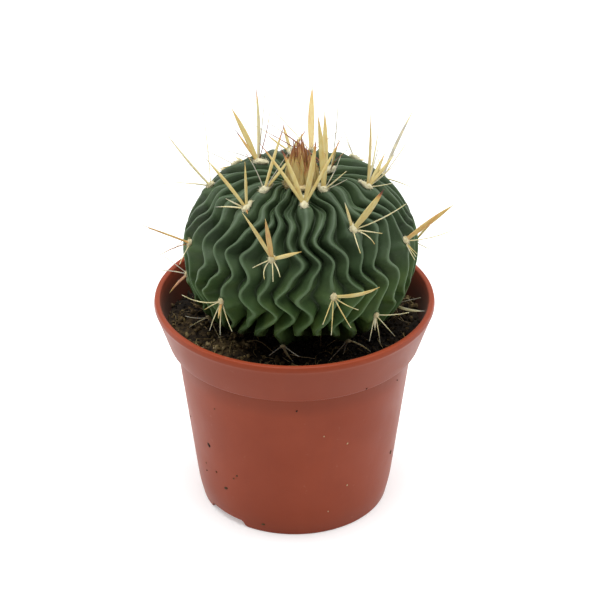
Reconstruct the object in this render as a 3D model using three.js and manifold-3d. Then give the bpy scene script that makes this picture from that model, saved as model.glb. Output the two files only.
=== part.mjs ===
// Potted round cactus: a globe-shaped plant with thin wavy ribs and clustered spines, in a plastic
// nursery pot. Millimetres, +Z up. The origin is the middle of the pot's underside, on the pot's axis.
// The front of the plant faces -Y.

import * as THREE from 'three';
import { mergeVertices } from 'three/addons/utils/BufferGeometryUtils.js';
import Module from 'manifold-3d';

const wasm = await Module();
wasm.setup();

// ---- Driving dimensions ----------------------------------------------------------------------

const GAP = 0.3;                 // clearance between pieces that touch

// Pot
const POT_HEIGHT = 68.2;
const RIM_RADIUS = 42.5;
const COLLAR_BOTTOM = 54.2;      // height of the ledge under the collar
const COLLAR_RADIUS = 38.2;      // collar's outside radius just above the ledge
const LEDGE_RADIUS = 36.1;       // body's outside radius just below the ledge
const BODY_FOOT_RADIUS = 30.1;   // outside radius where the chamfer to the foot begins
const BODY_FOOT_HEIGHT = 5.5;
const FOOT_RADIUS = 28.8;
const WALL = 1.1;
const LIP_WIDTH = 1.9;
const FLOOR_MIDDLE_RADIUS = 17;  // the middle of the floor rests on the ground
const FLOOR_LIFT = 2.7;          // the ring channel round it is raised by this much
const POT_SIDES = 44;
const NOTCH_AZIMUTHS = [-46.5, 133.5];
const NOTCH_SPREAD = 31;         // degrees of the foot that each notch takes
const NOTCH_HEIGHT = 2.4;
const DRAIN_HOLES = 6;
const DRAIN_RADIUS = 2.6;
const DRAIN_CIRCLE = 22;

// Soil
const SOIL_LEVEL = 58.3;
const SOIL_SIDES = 36;
const SOIL_RINGS = 5;
const SOIL_RELIEF = 0.9;         // height of the crumbs and waves
// Mounds of loose peat: x, y, spread, height
const SOIL_MOUNDS = [
  [-19, -17, 7, 2.2], [-36, -2, 10, 2.6], [-30, -20, 7, 1.0], [24, -28, 9, -0.8], [37, 10, 9, 1.2],
  [0, 37, 12, 1.4],
];

// Plant
const PLANT_OFFSET = 1.9;        // the plant stands a little to +X of the pot's axis
const PLANT_CENTRE = 85.3;
const PLANT_RADIUS = 35.1;
const PLANT_HALF_HEIGHT = 27.35;
const CROWN_DIP = 6.6;           // depth of the sunken crown
const CROWN_SPREAD = 9;
// Swellings of the plant near its foot: azimuth and its spread (0 for all round), latitude and its
// spread, size
const SWELLINGS = [[0, 0, -42, 14, 1.8], [-100, 38, -38, 17, 2.8], [90, 38, -38, 14, 0.8]];
// Latitude where the ribs end and the plant draws in under itself: at the front, and elsewhere
const FRONT_END = -26;
const SIDE_END = -46;
const FRONT_SPREAD = 40;
const TUCK = 8.0;
const TUCK_BAND = 14;
const KNOBS = [21, 24, 26];      // numbers of the low areoles whose ribs hang further down
const KNOB_WIDTH = 7;
const KNOB_BAND = 8;
const NECK_RADIUS = 8.5;
const NECK_BOTTOM = 49;
const LOWEST_RIB = -66;          // latitudes, in degrees, between which the ribs run
const HIGHEST_RIB = 80;

// Ribs
const RIBS = 36;
const RIB_STEP = 360 / RIBS;
const RIB_PHASE = 3.3;           // azimuth of one crest before the areoles bend it
const RIB_DEPTH = 4.6;
const DEPTH_SHARE = 1.2;         // but no more than this share of the room between two crests
const NECK_FADE = 12;            // degrees of latitude over which the ribs die out to the neck
const CREST_WIDTH = 1.25;
const CREST_SHARE = 0.28;        // but no more than this share of the pitch to each side
const RIB_ROWS = 30;
const CROWN_RISE = 1.3;          // some ribs stand higher than others round the crown, by up to this
const CROWN_RISE_LATITUDE = 50;
const CROWN_RISE_BAND = 17;
const CROWN_CLEAR = [9, 16];     // azimuth and latitude round an areole that stay level
const CROWN_SINK = 0.7;          // every other rib dies out there, by this share of the grooves' depth
const CROWN_SINK_LATITUDES = [42, 58];
const FOOT_GROOVES = 3.4;        // the grooves are this much deeper between the ribs' lower ends
const FOOT_GROOVES_BAND = 18;    // degrees above the ends over which they deepen
const HOOK_TURN = 10;            // degrees that the ribs' lower ends curl to the left, at most
const HOOK_AZIMUTH = -25;        // where they curl most
const HOOK_SPREAD = 40;
const HOOK_START = 12;           // degrees above the ends where the curl begins
const HOOK_BAND = 16;

// How an areole bends the ribs round it
const PUSH = 9.5;                // degrees that its neighbours are pushed away
const PUSH_ROOT = 9.4;
const PUSH_REACH = 29;
const PUSH_BAND = 6.5;           // half height of the band of latitude that is pushed
const PUSH_DROP = 2.9;           // the band lies this far below the areole
const PULL_REACH = 17;
const PULL_BAND = 17;

// Areoles, on the golden-angle spiral. Number 0 faces the front, just outside the crown.
const GOLDEN_ANGLE = 137.508;
const FIRST_AZIMUTH = 3;
const FIRST_LATITUDE = 57;
const LATITUDE_STEP = 4.1;
const CROWN_LATITUDE_STEP = 2.7; // the spiral is tighter inside the crown
const YOUNGEST = -6;
const OLDEST = 26;
// How far, in degrees, single areoles have grown off the spiral: number, azimuth, latitude
const SHIFTS = {
  '-6': [-6, 2],
  '-5': [-13, -7],
  '-3': [-27, 2],
  '-2': [-34, 4],
  '-1': [0, -17],
  0: [0, 1],
  1: [0, -15],
  2: [-14, 6],
  3: [6, 5],
  5: [-2, 3],
  6: [2, 7],
  7: [6, 1],
  8: [2, 2],
  10: [-2, 3],
  11: [-2, 2],
  16: [-4, 0],
  18: [-7, -3],
  21: [-6, -13],
  23: [4, -6],
  24: [-10, 0],
  26: [4, 4],
};

// Spines. Each is kind, turn, lean, length: turn runs clockwise from the crown's direction, lean is
// measured from straight out, both in degrees.
const SPINE_KINDS = {
  blade: { width: 1.9, thickness: 0.75, sides: 4 },
  stout: { width: 1.1, thickness: 0.75, sides: 4 },
  fine: { width: 0.7, thickness: 0.6, sides: 3 },
};
const WIDEST = 0.42;             // where along its length a spine is widest
const ROOT_SHARE = 0.7;          // width of its root
// The spines of the areoles at the front and the sides, as they have grown
const GROWN_SPINES = {
  '-6': [['stout', 45, 45, 22], ['fine', 45, 56, 27], ['fine', -161, 30, 11]],
  '-5': [['stout', -5, 45, 19.4], ['stout', 14, 60, 14.9]],
  '-4': [['stout', 170, 40, 9], ['stout', -120, 50, 8], ['stout', 100, 50, 9]],
  '-3': [['blade', 15, 30, 22.3], ['blade', 27, 45, 23.4], ['fine', 110, 45, 9]],
  '-2': [['blade', -158, 30, 17.8], ['stout', 177, 30, 11.9], ['stout', -107, 30, 22.5]],
  '-1': [['fine', 63, 45, 9.5], ['fine', 113, 60, 12.1], ['stout', 180, 72, 6]],
  0: [['blade', 16, 45, 19.3], ['stout', -30, 45, 17.6], ['stout', -51, 45, 22.9], ['stout', 43, 45, 22.8]],
  1: [['stout', 175, 75, 8], ['fine', 150, 70, 6], ['fine', -150, 70, 6], ['fine', -177, 45, 15.6]],
  2: [
    ['blade', 19, 30, 22.5], ['fine', 60, 45, 18.2], ['stout', 100, 45, 13.6], ['fine', 109, 60, 12.1],
    ['stout', 84, 45, 11.5],
  ],
  3: [
    ['stout', -17, 45, 13.9], ['stout', -72, 45, 19.1], ['fine', -99, 60, 6.8], ['fine', -130, 60, 8.9],
    ['fine', 122, 62, 4],
  ],
  4: [['blade', 160, 15, 24], ['fine', 100, 45, 20.9], ['fine', -112, 45, 11.8], ['fine', 178, 62, 8]],
  5: [
    ['blade', 55, 45, 14.9], ['fine', 85, 60, 21.5], ['stout', -10, 60, 8.5], ['fine', 129, 60, 8.6],
    ['fine', 163, 60, 8.3], ['fine', -158, 66, 9.6],
  ],
  6: [['blade', 47, 15, 22.8], ['fine', -58, 45, 23.9], ['fine', -160, 60, 18.7], ['fine', -178, 45, 7.6]],
  7: [['blade', 20, 18, 22.5], ['fine', 112, 15, 19.7], ['fine', 100, 60, 12], ['fine', -140, 66, 9]],
  8: [
    ['blade', -5, 45, 14.9], ['stout', 73, 60, 11.5], ['stout', -36, 60, 16.4], ['fine', -126, 62, 6.4],
    ['fine', -175, 62, 6.9], ['fine', 151, 62, 7.4],
  ],
  9: [['blade', 165, 25, 12], ['stout', 128, 62, 9], ['stout', -110, 62, 8], ['fine', 180, 66, 8.3]],
  10: [
    ['blade', 75, 45, 18], ['fine', 105, 45, 19.6], ['fine', -175, 62, 5.4], ['fine', -165, 66, 5.9],
    ['fine', -152, 68, 6.7],
  ],
  11: [['blade', 17, 15, 17.8], ['fine', -90, 30, 13], ['fine', -160, 42, 9.9], ['fine', 125, 62, 8.6]],
  13: [
    ['stout', 69, 60, 14.4], ['fine', -144, 60, 8.9], ['fine', -166, 60, 11.1], ['fine', 156, 60, 10.3],
    ['fine', 118, 60, 8.2],
  ],
  14: [['stout', -110, 40, 12], ['fine', 151, 60, 15], ['fine', -60, 60, 10], ['fine', 180, 50, 9]],
  15: [['fine', 139, 45, 10.5], ['stout', -20, 66, 9], ['fine', 60, 66, 7]],
  16: [
    ['fine', -79, 60, 11.8], ['fine', -122, 52, 6], ['stout', 165, 48, 5.2], ['fine', -167, 60, 10.1],
    ['fine', 137, 68, 9.4],
  ],
  18: [
    ['fine', 79, 60, 10], ['fine', -148, 60, 8], ['fine', 175, 60, 9.5], ['fine', 141, 60, 10.6],
    ['stout', -169, 60, 4.8],
  ],
  19: [['fine', -103, 42, 14.5], ['fine', -45, 45, 9], ['stout', -155, 50, 11]],
  21: [['stout', 155, 58, 7.2], ['fine', -127, 60, 6.2], ['fine', 88, 60, 5.8]],
  23: [['stout', -28, 62, 11], ['fine', 15, 66, 8.5]],
  24: [['fine', -14, 60, 7.5], ['fine', -104, 48, 10.5], ['fine', 156, 58, 7.6]],
  26: [['stout', 95, 50, 8.5], ['fine', -133, 58, 8.6], ['fine', -175, 50, 6]],
};
// What every other areole carries, before each spine is turned and lengthened a little at random
const USUAL_SPINES = [
  ['blade', 0, 38, 18], ['stout', 68, 58, 13], ['stout', -68, 58, 13], ['fine', 125, 66, 8.5],
  ['fine', 180, 66, 8], ['fine', -125, 66, 8.5],
];
// Blades of the usual set that point another way: turn, lean, length
const STRAY_BLADES = {
  12: [-150, 25, 15],
  17: [170, 20, 14],
};
const TURN_SPREAD = 24;
const LENGTH_SPREAD = 0.3;
const LOW_LATITUDE = -15;        // below this the areoles are old and keep only a few short spines
const LOW_LENGTH = 0.5;
const LOW_SPINES = 4;
const HIGH_LATITUDE = 55;        // above this the spines stand up clear of the crown
const HIGH_LEAN = 0.45;

// Wool cushions: half sizes towards the crown, across, and outwards
const WOOL = [1.9, 1.45, 1.1];
const WOOL_LIFT = 0.35;
const WOOL_SIDES = 6;

// Crown tuft
const TUFT_SPINES = 19;
const TUFT_RADIUS = 4.6;
const TUFT_STRETCH = 1.6;        // the tuft is longer from front to back
const TUFT_SHIFT = -6.0;         // and stands in front of the crown's middle
const TUFT_TILT_REACH = 5;
const TUFT_LENGTH = [8.75, 13.75];
const TUFT_LEAN = [1, 13];       // least, and how much more at the edge
const TUFT_WOOL = [8.7, 5.6, 2.1];
const TUFT_WOOL_SIDES = 10;

// Seeds of the random draws
const USUAL_SEED = 300;
const RISE_SEED = 500;
const LEAN_SEED = 40;
const LENGTH_SEED = 80;

// ---- Numbers ---------------------------------------------------------------------------------

const radians = THREE.MathUtils.degToRad;
const degrees = THREE.MathUtils.radToDeg;
const lerp = THREE.MathUtils.lerp;
const smooth = THREE.MathUtils.smoothstep;

function wrapDegrees(angle) {
  return THREE.MathUtils.euclideanModulo(angle + 180, 360) - 180;
}

function bell(x) {
  return Math.exp(-x * x);
}

// The same seed always draws the same number from 0 to 1
function draw(seed) {
  const value = Math.sin(seed * 12.9898) * 43758.5453;
  return value - Math.floor(value);
}

// ---- Solids ----------------------------------------------------------------------------------

function toSolid(geometry) {
  const bare = geometry.clone();
  bare.deleteAttribute('normal');
  bare.deleteAttribute('uv');
  const merged = mergeVertices(bare, 1e-4);
  return new wasm.Manifold(new wasm.Mesh({
    numProp: 3,
    vertProperties: new Float32Array(merged.attributes.position.array),
    triVerts: new Uint32Array(merged.index.array),
  }));
}

function toGeometry(solid) {
  const mesh = solid.getMesh();
  const geometry = new THREE.BufferGeometry();
  geometry.setAttribute('position', new THREE.BufferAttribute(mesh.vertProperties, 3));
  geometry.setIndex(new THREE.BufferAttribute(mesh.triVerts, 1));
  geometry.computeVertexNormals();
  return geometry;
}

// Cutting can leave a loose scrap; only the main body is kept
function largestBody(solid) {
  return solid.decompose().reduce((a, b) => (a.volume() > b.volume() ? a : b));
}

// Closes a grid of points, row after row round the Z axis, with a first and a last point
function closedGrid(rows, first, last) {
  const points = [first, ...rows.flat(), last];
  const columns = rows[0].length;
  const triangles = [];
  const at = (row, column) => 1 + row * columns + (column % columns);
  for (let column = 0; column < columns; column += 1) {
    triangles.push(0, at(0, column + 1), at(0, column));
    triangles.push(points.length - 1, at(rows.length - 1, column), at(rows.length - 1, column + 1));
    for (let row = 0; row + 1 < rows.length; row += 1) {
      const corners = [at(row, column), at(row, column + 1), at(row + 1, column + 1), at(row + 1, column)];
      triangles.push(corners[0], corners[1], corners[2], corners[0], corners[2], corners[3]);
    }
  }
  const geometry = new THREE.BufferGeometry().setFromPoints(points);
  geometry.setIndex(triangles);
  return geometry;
}

// A lathed outline, given as [radius, height] pairs, turned so that its axis is Z
function lathed(outline, sides) {
  const points = outline.map(([radius, height]) => new THREE.Vector2(radius, height));
  return new THREE.LatheGeometry(points, sides).rotateX(Math.PI / 2);
}

// ---- Pot -------------------------------------------------------------------------------------

function potOutline() {
  const innerRim = RIM_RADIUS - LIP_WIDTH;
  return [
    [0, 0],
    [FLOOR_MIDDLE_RADIUS, 0],
    [FLOOR_MIDDLE_RADIUS + 1.2, FLOOR_LIFT],
    [FOOT_RADIUS - 1.9, FLOOR_LIFT],
    [FOOT_RADIUS - 1.3, 0],
    [FOOT_RADIUS, 0],
    [BODY_FOOT_RADIUS, BODY_FOOT_HEIGHT],
    [LEDGE_RADIUS, COLLAR_BOTTOM],
    [COLLAR_RADIUS, COLLAR_BOTTOM],
    [RIM_RADIUS - 0.35, POT_HEIGHT - 2.2],
    [RIM_RADIUS, POT_HEIGHT - 1.5],
    [RIM_RADIUS - 0.3, POT_HEIGHT],
    [innerRim, POT_HEIGHT],
    [innerRim - 0.3, POT_HEIGHT - 1.4],
    [COLLAR_RADIUS - WALL, COLLAR_BOTTOM + WALL],
    [LEDGE_RADIUS - WALL, COLLAR_BOTTOM - WALL],
    [BODY_FOOT_RADIUS - WALL, FLOOR_LIFT + WALL],
    [FLOOR_MIDDLE_RADIUS + 0.4, FLOOR_LIFT + WALL],
    [FLOOR_MIDDLE_RADIUS - 0.8, WALL],
    [0, WALL],
  ];
}

// A wedge of the foot ring, from just under the floor down past the ground
function footNotch(azimuth) {
  const shape = new THREE.Shape();
  const start = radians(azimuth - NOTCH_SPREAD / 2 - 90);
  const end = radians(azimuth + NOTCH_SPREAD / 2 - 90);
  shape.absarc(0, 0, FOOT_RADIUS + 3, start, end, false);
  shape.absarc(0, 0, FOOT_RADIUS - 2.5, end, start, true);
  const depth = NOTCH_HEIGHT + 1;
  const wedge = new THREE.ExtrudeGeometry(shape, { depth, bevelEnabled: false, curveSegments: 6 });
  return wedge.translate(0, 0, -1);
}

function drainHole(index) {
  const angle = radians((index + 0.5) * (360 / DRAIN_HOLES));
  const hole = new THREE.CylinderGeometry(DRAIN_RADIUS, DRAIN_RADIUS, 6, 8).rotateX(Math.PI / 2);
  return hole.translate(DRAIN_CIRCLE * Math.cos(angle), DRAIN_CIRCLE * Math.sin(angle), FLOOR_LIFT);
}

function potSolid() {
  let pot = toSolid(lathed(potOutline(), POT_SIDES));
  for (const azimuth of NOTCH_AZIMUTHS) {
    pot = pot.subtract(toSolid(footNotch(azimuth)));
  }
  for (let index = 0; index < DRAIN_HOLES; index += 1) {
    pot = pot.subtract(toSolid(drainHole(index)));
  }
  return pot;
}

// ---- Plant's surface -------------------------------------------------------------------------

function restingRib(azimuth) {
  return RIB_PHASE + Math.round((azimuth - RIB_PHASE) / RIB_STEP) * RIB_STEP;
}

// Azimuth and latitude of an areole
function spiralPlace(number) {
  const [turn, rise] = SHIFTS[number] ?? [0, 0];
  const step = number < 0 ? CROWN_LATITUDE_STEP : LATITUDE_STEP;
  return [wrapDegrees(FIRST_AZIMUTH - number * GOLDEN_ANGLE + turn), FIRST_LATITUDE - number * step + rise];
}

function areolePlaces() {
  const places = [];
  for (let number = YOUNGEST; number <= OLDEST; number += 1) {
    const [azimuth, latitude] = spiralPlace(number);
    places.push({ number, azimuth, latitude, rib: restingRib(azimuth), pull: 0 });
  }
  return places;
}

// Latitude where the ribs end
function ribEnd(azimuth) {
  return SIDE_END + (FRONT_END - SIDE_END) * bell(wrapDegrees(azimuth) / FRONT_SPREAD);
}

// How far, in degrees, a rib's lower end curls aside
function hooked(azimuth, latitude) {
  const turn = HOOK_TURN * bell(wrapDegrees(azimuth - HOOK_AZIMUTH) / HOOK_SPREAD);
  return -turn * smooth(ribEnd(azimuth) + HOOK_START - latitude, 0, HOOK_BAND);
}

// Azimuth of a line on the plant after the areoles have bent it. Each areole pushes the ribs on both
// of its sides away, and pulls its own rib to itself.
function bentAzimuth(azimuth, latitude, areoles) {
  let bent = azimuth;
  for (const areole of areoles) {
    const away = wrapDegrees(azimuth - areole.rib);
    const below = latitude - areole.latitude + PUSH_DROP;
    const push = PUSH * Math.tanh(away / PUSH_ROOT) * bell(away / PUSH_REACH) * bell(below / PUSH_BAND);
    const pull = areole.pull * bell(away / PULL_REACH) * bell((latitude - areole.latitude) / PULL_BAND);
    bent += push + pull;
  }
  return bent + hooked(azimuth, latitude);
}

// Each areole's pull is found by small corrections, until its rib runs through it
function settlePulls(areoles) {
  for (let round = 0; round < 12; round += 1) {
    for (const areole of areoles) {
      const reached = bentAzimuth(areole.rib, areole.latitude, areoles);
      areole.pull += 0.8 * wrapDegrees(areole.azimuth - reached);
    }
  }
  return areoles;
}

// How far the plant has drawn in under itself, except where a rib hangs down to a low areole
function tuck(azimuth, latitude) {
  let drawn = TUCK * smooth(ribEnd(azimuth) - latitude, 0, TUCK_BAND);
  for (const number of KNOBS) {
    const [knobAzimuth, knobLatitude] = spiralPlace(number);
    const held = bell(wrapDegrees(azimuth - knobAzimuth) / KNOB_WIDTH);
    drawn *= 1 - held * smooth(latitude, knobLatitude - KNOB_BAND, knobLatitude);
  }
  return drawn;
}

// A point on the plant's outer form, sunk by a depth
function plantPoint(azimuth, latitude, depth = 0) {
  let across = (PLANT_RADIUS - depth - tuck(azimuth, latitude)) * Math.cos(radians(latitude));
  for (const [middle, spread, height, band, size] of SWELLINGS) {
    const near = spread ? bell(wrapDegrees(azimuth - middle) / spread) : 1;
    across += size * near * bell((latitude - height) / band);
  }
  const dip = latitude > 0 ? CROWN_DIP * bell(across / CROWN_SPREAD) : 0;
  return new THREE.Vector3(
    PLANT_OFFSET + across * Math.sin(radians(azimuth)),
    -across * Math.cos(radians(azimuth)),
    PLANT_CENTRE + (PLANT_HALF_HEIGHT - depth) * Math.sin(radians(latitude)) - dip,
  );
}

// Directions at a point of the plant: towards the crown, across to the right, and straight out
function plantFrame(azimuth, latitude) {
  const up = plantPoint(azimuth, latitude + 0.2).sub(plantPoint(azimuth, latitude - 0.2)).normalize();
  const right = plantPoint(azimuth + 0.2, latitude).sub(plantPoint(azimuth - 0.2, latitude)).normalize();
  const out = new THREE.Vector3().crossVectors(right, up).normalize();
  return { up, right, out, point: plantPoint(azimuth, latitude) };
}

// The ribs are deep where there is room for them, and die out towards the neck and the crown
function ribDepth(azimuth, latitude) {
  const room = radians(RIB_STEP) * PLANT_RADIUS * Math.cos(radians(latitude));
  const full = Math.min(RIB_DEPTH, DEPTH_SHARE * room);
  const aboveEnd = latitude - ribEnd(azimuth);
  const deeper = FOOT_GROOVES * smooth(FOOT_GROOVES_BAND - aboveEnd, 0, FOOT_GROOVES_BAND);
  return full * smooth(latitude, LOWEST_RIB, LOWEST_RIB + NECK_FADE) + deeper;
}

// How much higher than its neighbours a rib stands round the crown, unless it carries an areole there
function crownRise(rib, crest, latitude, areoles) {
  let near = 0;
  for (const areole of areoles) {
    const across = wrapDegrees(crest - areole.rib) / CROWN_CLEAR[0];
    near += bell(across) * bell((latitude - areole.latitude) / CROWN_CLEAR[1]);
  }
  const rise = CROWN_RISE * draw(rib + RISE_SEED) * bell((latitude - CROWN_RISE_LATITUDE) / CROWN_RISE_BAND);
  return rise * Math.max(1 - near, 0);
}

// How far a rib has died out at a latitude: every other one does, unless it bears an areole up there
function crownSunk(rib, crest, latitude, areoles) {
  const high = areoles.filter((areole) => areole.latitude > CROWN_SINK_LATITUDES[0]);
  const borne = high.some((areole) => Math.abs(wrapDegrees(crest - areole.rib)) < RIB_STEP / 2);
  return rib % 2 && !borne ? smooth(latitude, ...CROWN_SINK_LATITUDES) : 0;
}

function plantRow(latitude, areoles) {
  const across = PLANT_RADIUS * Math.cos(radians(latitude));
  const halfCrest = Math.min(degrees(CREST_WIDTH / 2 / across), CREST_SHARE * RIB_STEP);
  const row = [];
  for (let rib = 0; rib < RIBS; rib += 1) {
    const crest = RIB_PHASE + rib * RIB_STEP;
    const sunk = crownSunk(rib, crest, latitude, areoles);
    const rise = crownRise(rib, crest, latitude, areoles) * (1 - sunk);
    const groove = crest + RIB_STEP / 2;
    const floor = ribDepth(groove, latitude);
    const top = CROWN_SINK * sunk * floor - rise;
    for (const [azimuth, depth] of [[crest - halfCrest, top], [crest + halfCrest, top], [groove, floor]]) {
      row.push(plantPoint(bentAzimuth(azimuth, latitude, areoles), latitude, depth));
    }
  }
  return row;
}

function neckRow(columns) {
  const row = [];
  for (let column = 0; column < columns; column += 1) {
    const angle = radians((column / columns) * 360 + RIB_PHASE);
    const x = PLANT_OFFSET + NECK_RADIUS * Math.sin(angle);
    row.push(new THREE.Vector3(x, -NECK_RADIUS * Math.cos(angle), NECK_BOTTOM));
  }
  return row;
}

function plantSolid(areoles) {
  const rows = [neckRow(RIBS * 3)];
  for (let row = 0; row < RIB_ROWS; row += 1) {
    rows.push(plantRow(lerp(LOWEST_RIB, HIGHEST_RIB, row / (RIB_ROWS - 1)), areoles));
  }
  const bottom = new THREE.Vector3(PLANT_OFFSET, 0, NECK_BOTTOM);
  return toSolid(closedGrid(rows, bottom, plantPoint(0, 90)));
}

// ---- Soil ------------------------------------------------------------------------------------

function soilHeight(x, y) {
  const waves = Math.sin(x * 0.21 + 1.3) * Math.cos(y * 0.17 - 0.4) + 0.6 * Math.sin(x * 0.53 - y * 0.47);
  const crumbs = draw(Math.round(x * 7) + Math.round(y * 13) * 0.37) - 0.5;
  let height = SOIL_LEVEL + SOIL_RELIEF * (0.45 * waves + 0.6 * crumbs);
  for (const [moundX, moundY, spread, rise] of SOIL_MOUNDS) {
    height += rise * bell(Math.hypot(x - moundX, y - moundY) / spread);
  }
  return height;
}

// Radius of the soil at a height: the pot's inside wall less the gap
function soilRadius(height) {
  const low = FLOOR_LIFT + WALL;
  const high = COLLAR_BOTTOM - WALL;
  if (height < high) {
    return lerp(BODY_FOOT_RADIUS, LEDGE_RADIUS, (height - low) / (high - low)) - WALL - GAP;
  }
  const collarLow = COLLAR_BOTTOM + WALL;
  const rise = Math.max(height - collarLow, 0) / (POT_HEIGHT - 1.4 - collarLow);
  return lerp(COLLAR_RADIUS - WALL, RIM_RADIUS - LIP_WIDTH - 0.3, rise) - GAP;
}

function ring(radius, heightAt) {
  const points = [];
  for (let side = 0; side < SOIL_SIDES; side += 1) {
    const angle = (side / SOIL_SIDES) * 2 * Math.PI;
    const x = radius * Math.cos(angle);
    const y = radius * Math.sin(angle);
    points.push(new THREE.Vector3(x, y, heightAt(x, y)));
  }
  return points;
}

function soilSolid() {
  const floor = FLOOR_LIFT + WALL + GAP;
  const middleFloor = WALL + GAP;
  const flat = (height) => () => height;
  const rows = [
    ring(FLOOR_MIDDLE_RADIUS - 1.4, flat(middleFloor)),
    ring(FLOOR_MIDDLE_RADIUS - 0.2, flat(floor)),
    ring(soilRadius(floor), flat(floor)),
    ring(LEDGE_RADIUS - WALL - GAP, flat(COLLAR_BOTTOM - WALL + GAP)),
    ring(soilRadius(COLLAR_BOTTOM + WALL) - GAP, flat(COLLAR_BOTTOM + WALL + 2 * GAP)),
    ring(soilRadius(SOIL_LEVEL - 1) - 0.2, flat(SOIL_LEVEL - 1)),
  ];
  for (let step = 0; step < SOIL_RINGS; step += 1) {
    const radius = lerp(soilRadius(SOIL_LEVEL) - 1, 6, step / (SOIL_RINGS - 1));
    rows.push(ring(radius, soilHeight));
  }
  const top = new THREE.Vector3(0, 0, SOIL_LEVEL);
  const plug = toSolid(closedGrid(rows, new THREE.Vector3(0, 0, middleFloor), top));
  return plug.subtract(toSolid(neckHole()));
}

// The plain hole that the root neck stands in
function neckHole() {
  const lowest = plantPoint(0, LOWEST_RIB);
  const widest = Math.max(...plantRow(LOWEST_RIB, []).map(({ x, y }) => Math.hypot(x - PLANT_OFFSET, y)));
  const slope = (widest - NECK_RADIUS) / (lowest.z - NECK_BOTTOM);
  const top = SOIL_LEVEL + 6;
  const outline = [
    [0, NECK_BOTTOM - GAP],
    [NECK_RADIUS + 2 * GAP, NECK_BOTTOM - GAP],
    [NECK_RADIUS + 2 * GAP + slope * (top - NECK_BOTTOM), top],
    [0, top],
  ];
  return lathed(outline, 24).translate(PLANT_OFFSET, 0, 0);
}

// ---- Areoles and spines ----------------------------------------------------------------------

// A tapering spine along +Z of a frame, flat across its width: narrow root, widest part, sharp tip
function spineGeometry(kind, length) {
  const { width, thickness, sides } = SPINE_KINDS[kind];
  const section = (scale, height) => {
    const points = [];
    for (let side = 0; side < sides; side += 1) {
      const angle = (side / sides) * 2 * Math.PI;
      const x = (width / 2) * scale * Math.cos(angle);
      const y = (thickness / 2) * Math.max(scale, 0.9) * Math.sin(angle);
      points.push(new THREE.Vector3(x, y, height));
    }
    return points;
  };
  const rows = [section(ROOT_SHARE, 0), section(1, WIDEST * length)];
  return closedGrid(rows, new THREE.Vector3(0, 0, 0), new THREE.Vector3(0, 0, length));
}

function spineSolid(kind, frame, turn, lean, length) {
  const side = frame.up.clone().multiplyScalar(Math.cos(radians(turn)));
  side.addScaledVector(frame.right, Math.sin(radians(turn)));
  const along = frame.out.clone().multiplyScalar(Math.cos(radians(lean)));
  along.addScaledVector(side, Math.sin(radians(lean))).normalize();
  const across = new THREE.Vector3().crossVectors(along, frame.out);
  if (across.length() < 0.3) {
    across.copy(frame.right).addScaledVector(along, -along.dot(frame.right));
  }
  across.normalize();
  const flat = new THREE.Vector3().crossVectors(along, across);
  const matrix = new THREE.Matrix4().makeBasis(across, flat, along).setPosition(frame.point);
  return toSolid(spineGeometry(kind, length).applyMatrix4(matrix));
}

// A low rounded cushion in a frame, larger all round by the given margin
function cushion(frame, halves, margin, sides) {
  const [up, across, out] = halves.map((half) => half + margin);
  const centre = frame.point.clone().addScaledVector(frame.out, WOOL_LIFT);
  const matrix = new THREE.Matrix4().makeBasis(frame.right, frame.up, frame.out).setPosition(centre);
  const ball = new THREE.SphereGeometry(1, sides, 3).rotateX(Math.PI / 2).scale(across, up, out);
  return toSolid(ball.applyMatrix4(matrix));
}

function spinesOf(areole) {
  const grown = GROWN_SPINES[areole.number];
  if (grown) {
    return grown;
  }
  const low = areole.latitude < LOW_LATITUDE;
  const size = low ? LOW_LENGTH : 1;
  const tilt = areole.latitude > HIGH_LATITUDE ? HIGH_LEAN : 1;
  const usual = USUAL_SPINES.slice(0, low ? LOW_SPINES : USUAL_SPINES.length);
  return usual.map(([kind, turn, lean, length], index) => {
    const seed = (areole.number + 10) * 7 + index;
    const stray = STRAY_BLADES[areole.number];
    if (kind === 'blade' && stray) {
      return [kind, ...stray];
    }
    const turned = turn + TURN_SPREAD * (draw(seed) - 0.5);
    return [kind, turned, lean * tilt, length * size * (1 + LENGTH_SPREAD * (draw(seed + USUAL_SEED) - 0.5))];
  });
}

function areoleSolid(areole) {
  const frame = plantFrame(areole.azimuth, areole.latitude);
  let bunch = cushion(frame, WOOL, 0, WOOL_SIDES);
  for (const [kind, turn, lean, length] of spinesOf(areole)) {
    bunch = bunch.add(spineSolid(kind, frame, turn, lean, length));
  }
  return bunch;
}

// ---- Crown tuft ------------------------------------------------------------------------------

// A place on the sunken crown, from the tuft's middle
function crownPoint(x, fromMiddle) {
  const y = fromMiddle + TUFT_SHIFT;
  return plantPoint(degrees(Math.atan2(x, -y)), degrees(Math.acos(Math.hypot(x, y) / PLANT_RADIUS)));
}

// Directions on the sunken crown: to the back, to the right, and straight out
function tuftFrame() {
  const right = new THREE.Vector3(1, 0, 0);
  const up = crownPoint(0, TUFT_TILT_REACH).sub(crownPoint(0, -TUFT_TILT_REACH)).normalize();
  return { up, right, out: new THREE.Vector3().crossVectors(right, up), point: crownPoint(0, 0) };
}

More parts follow.
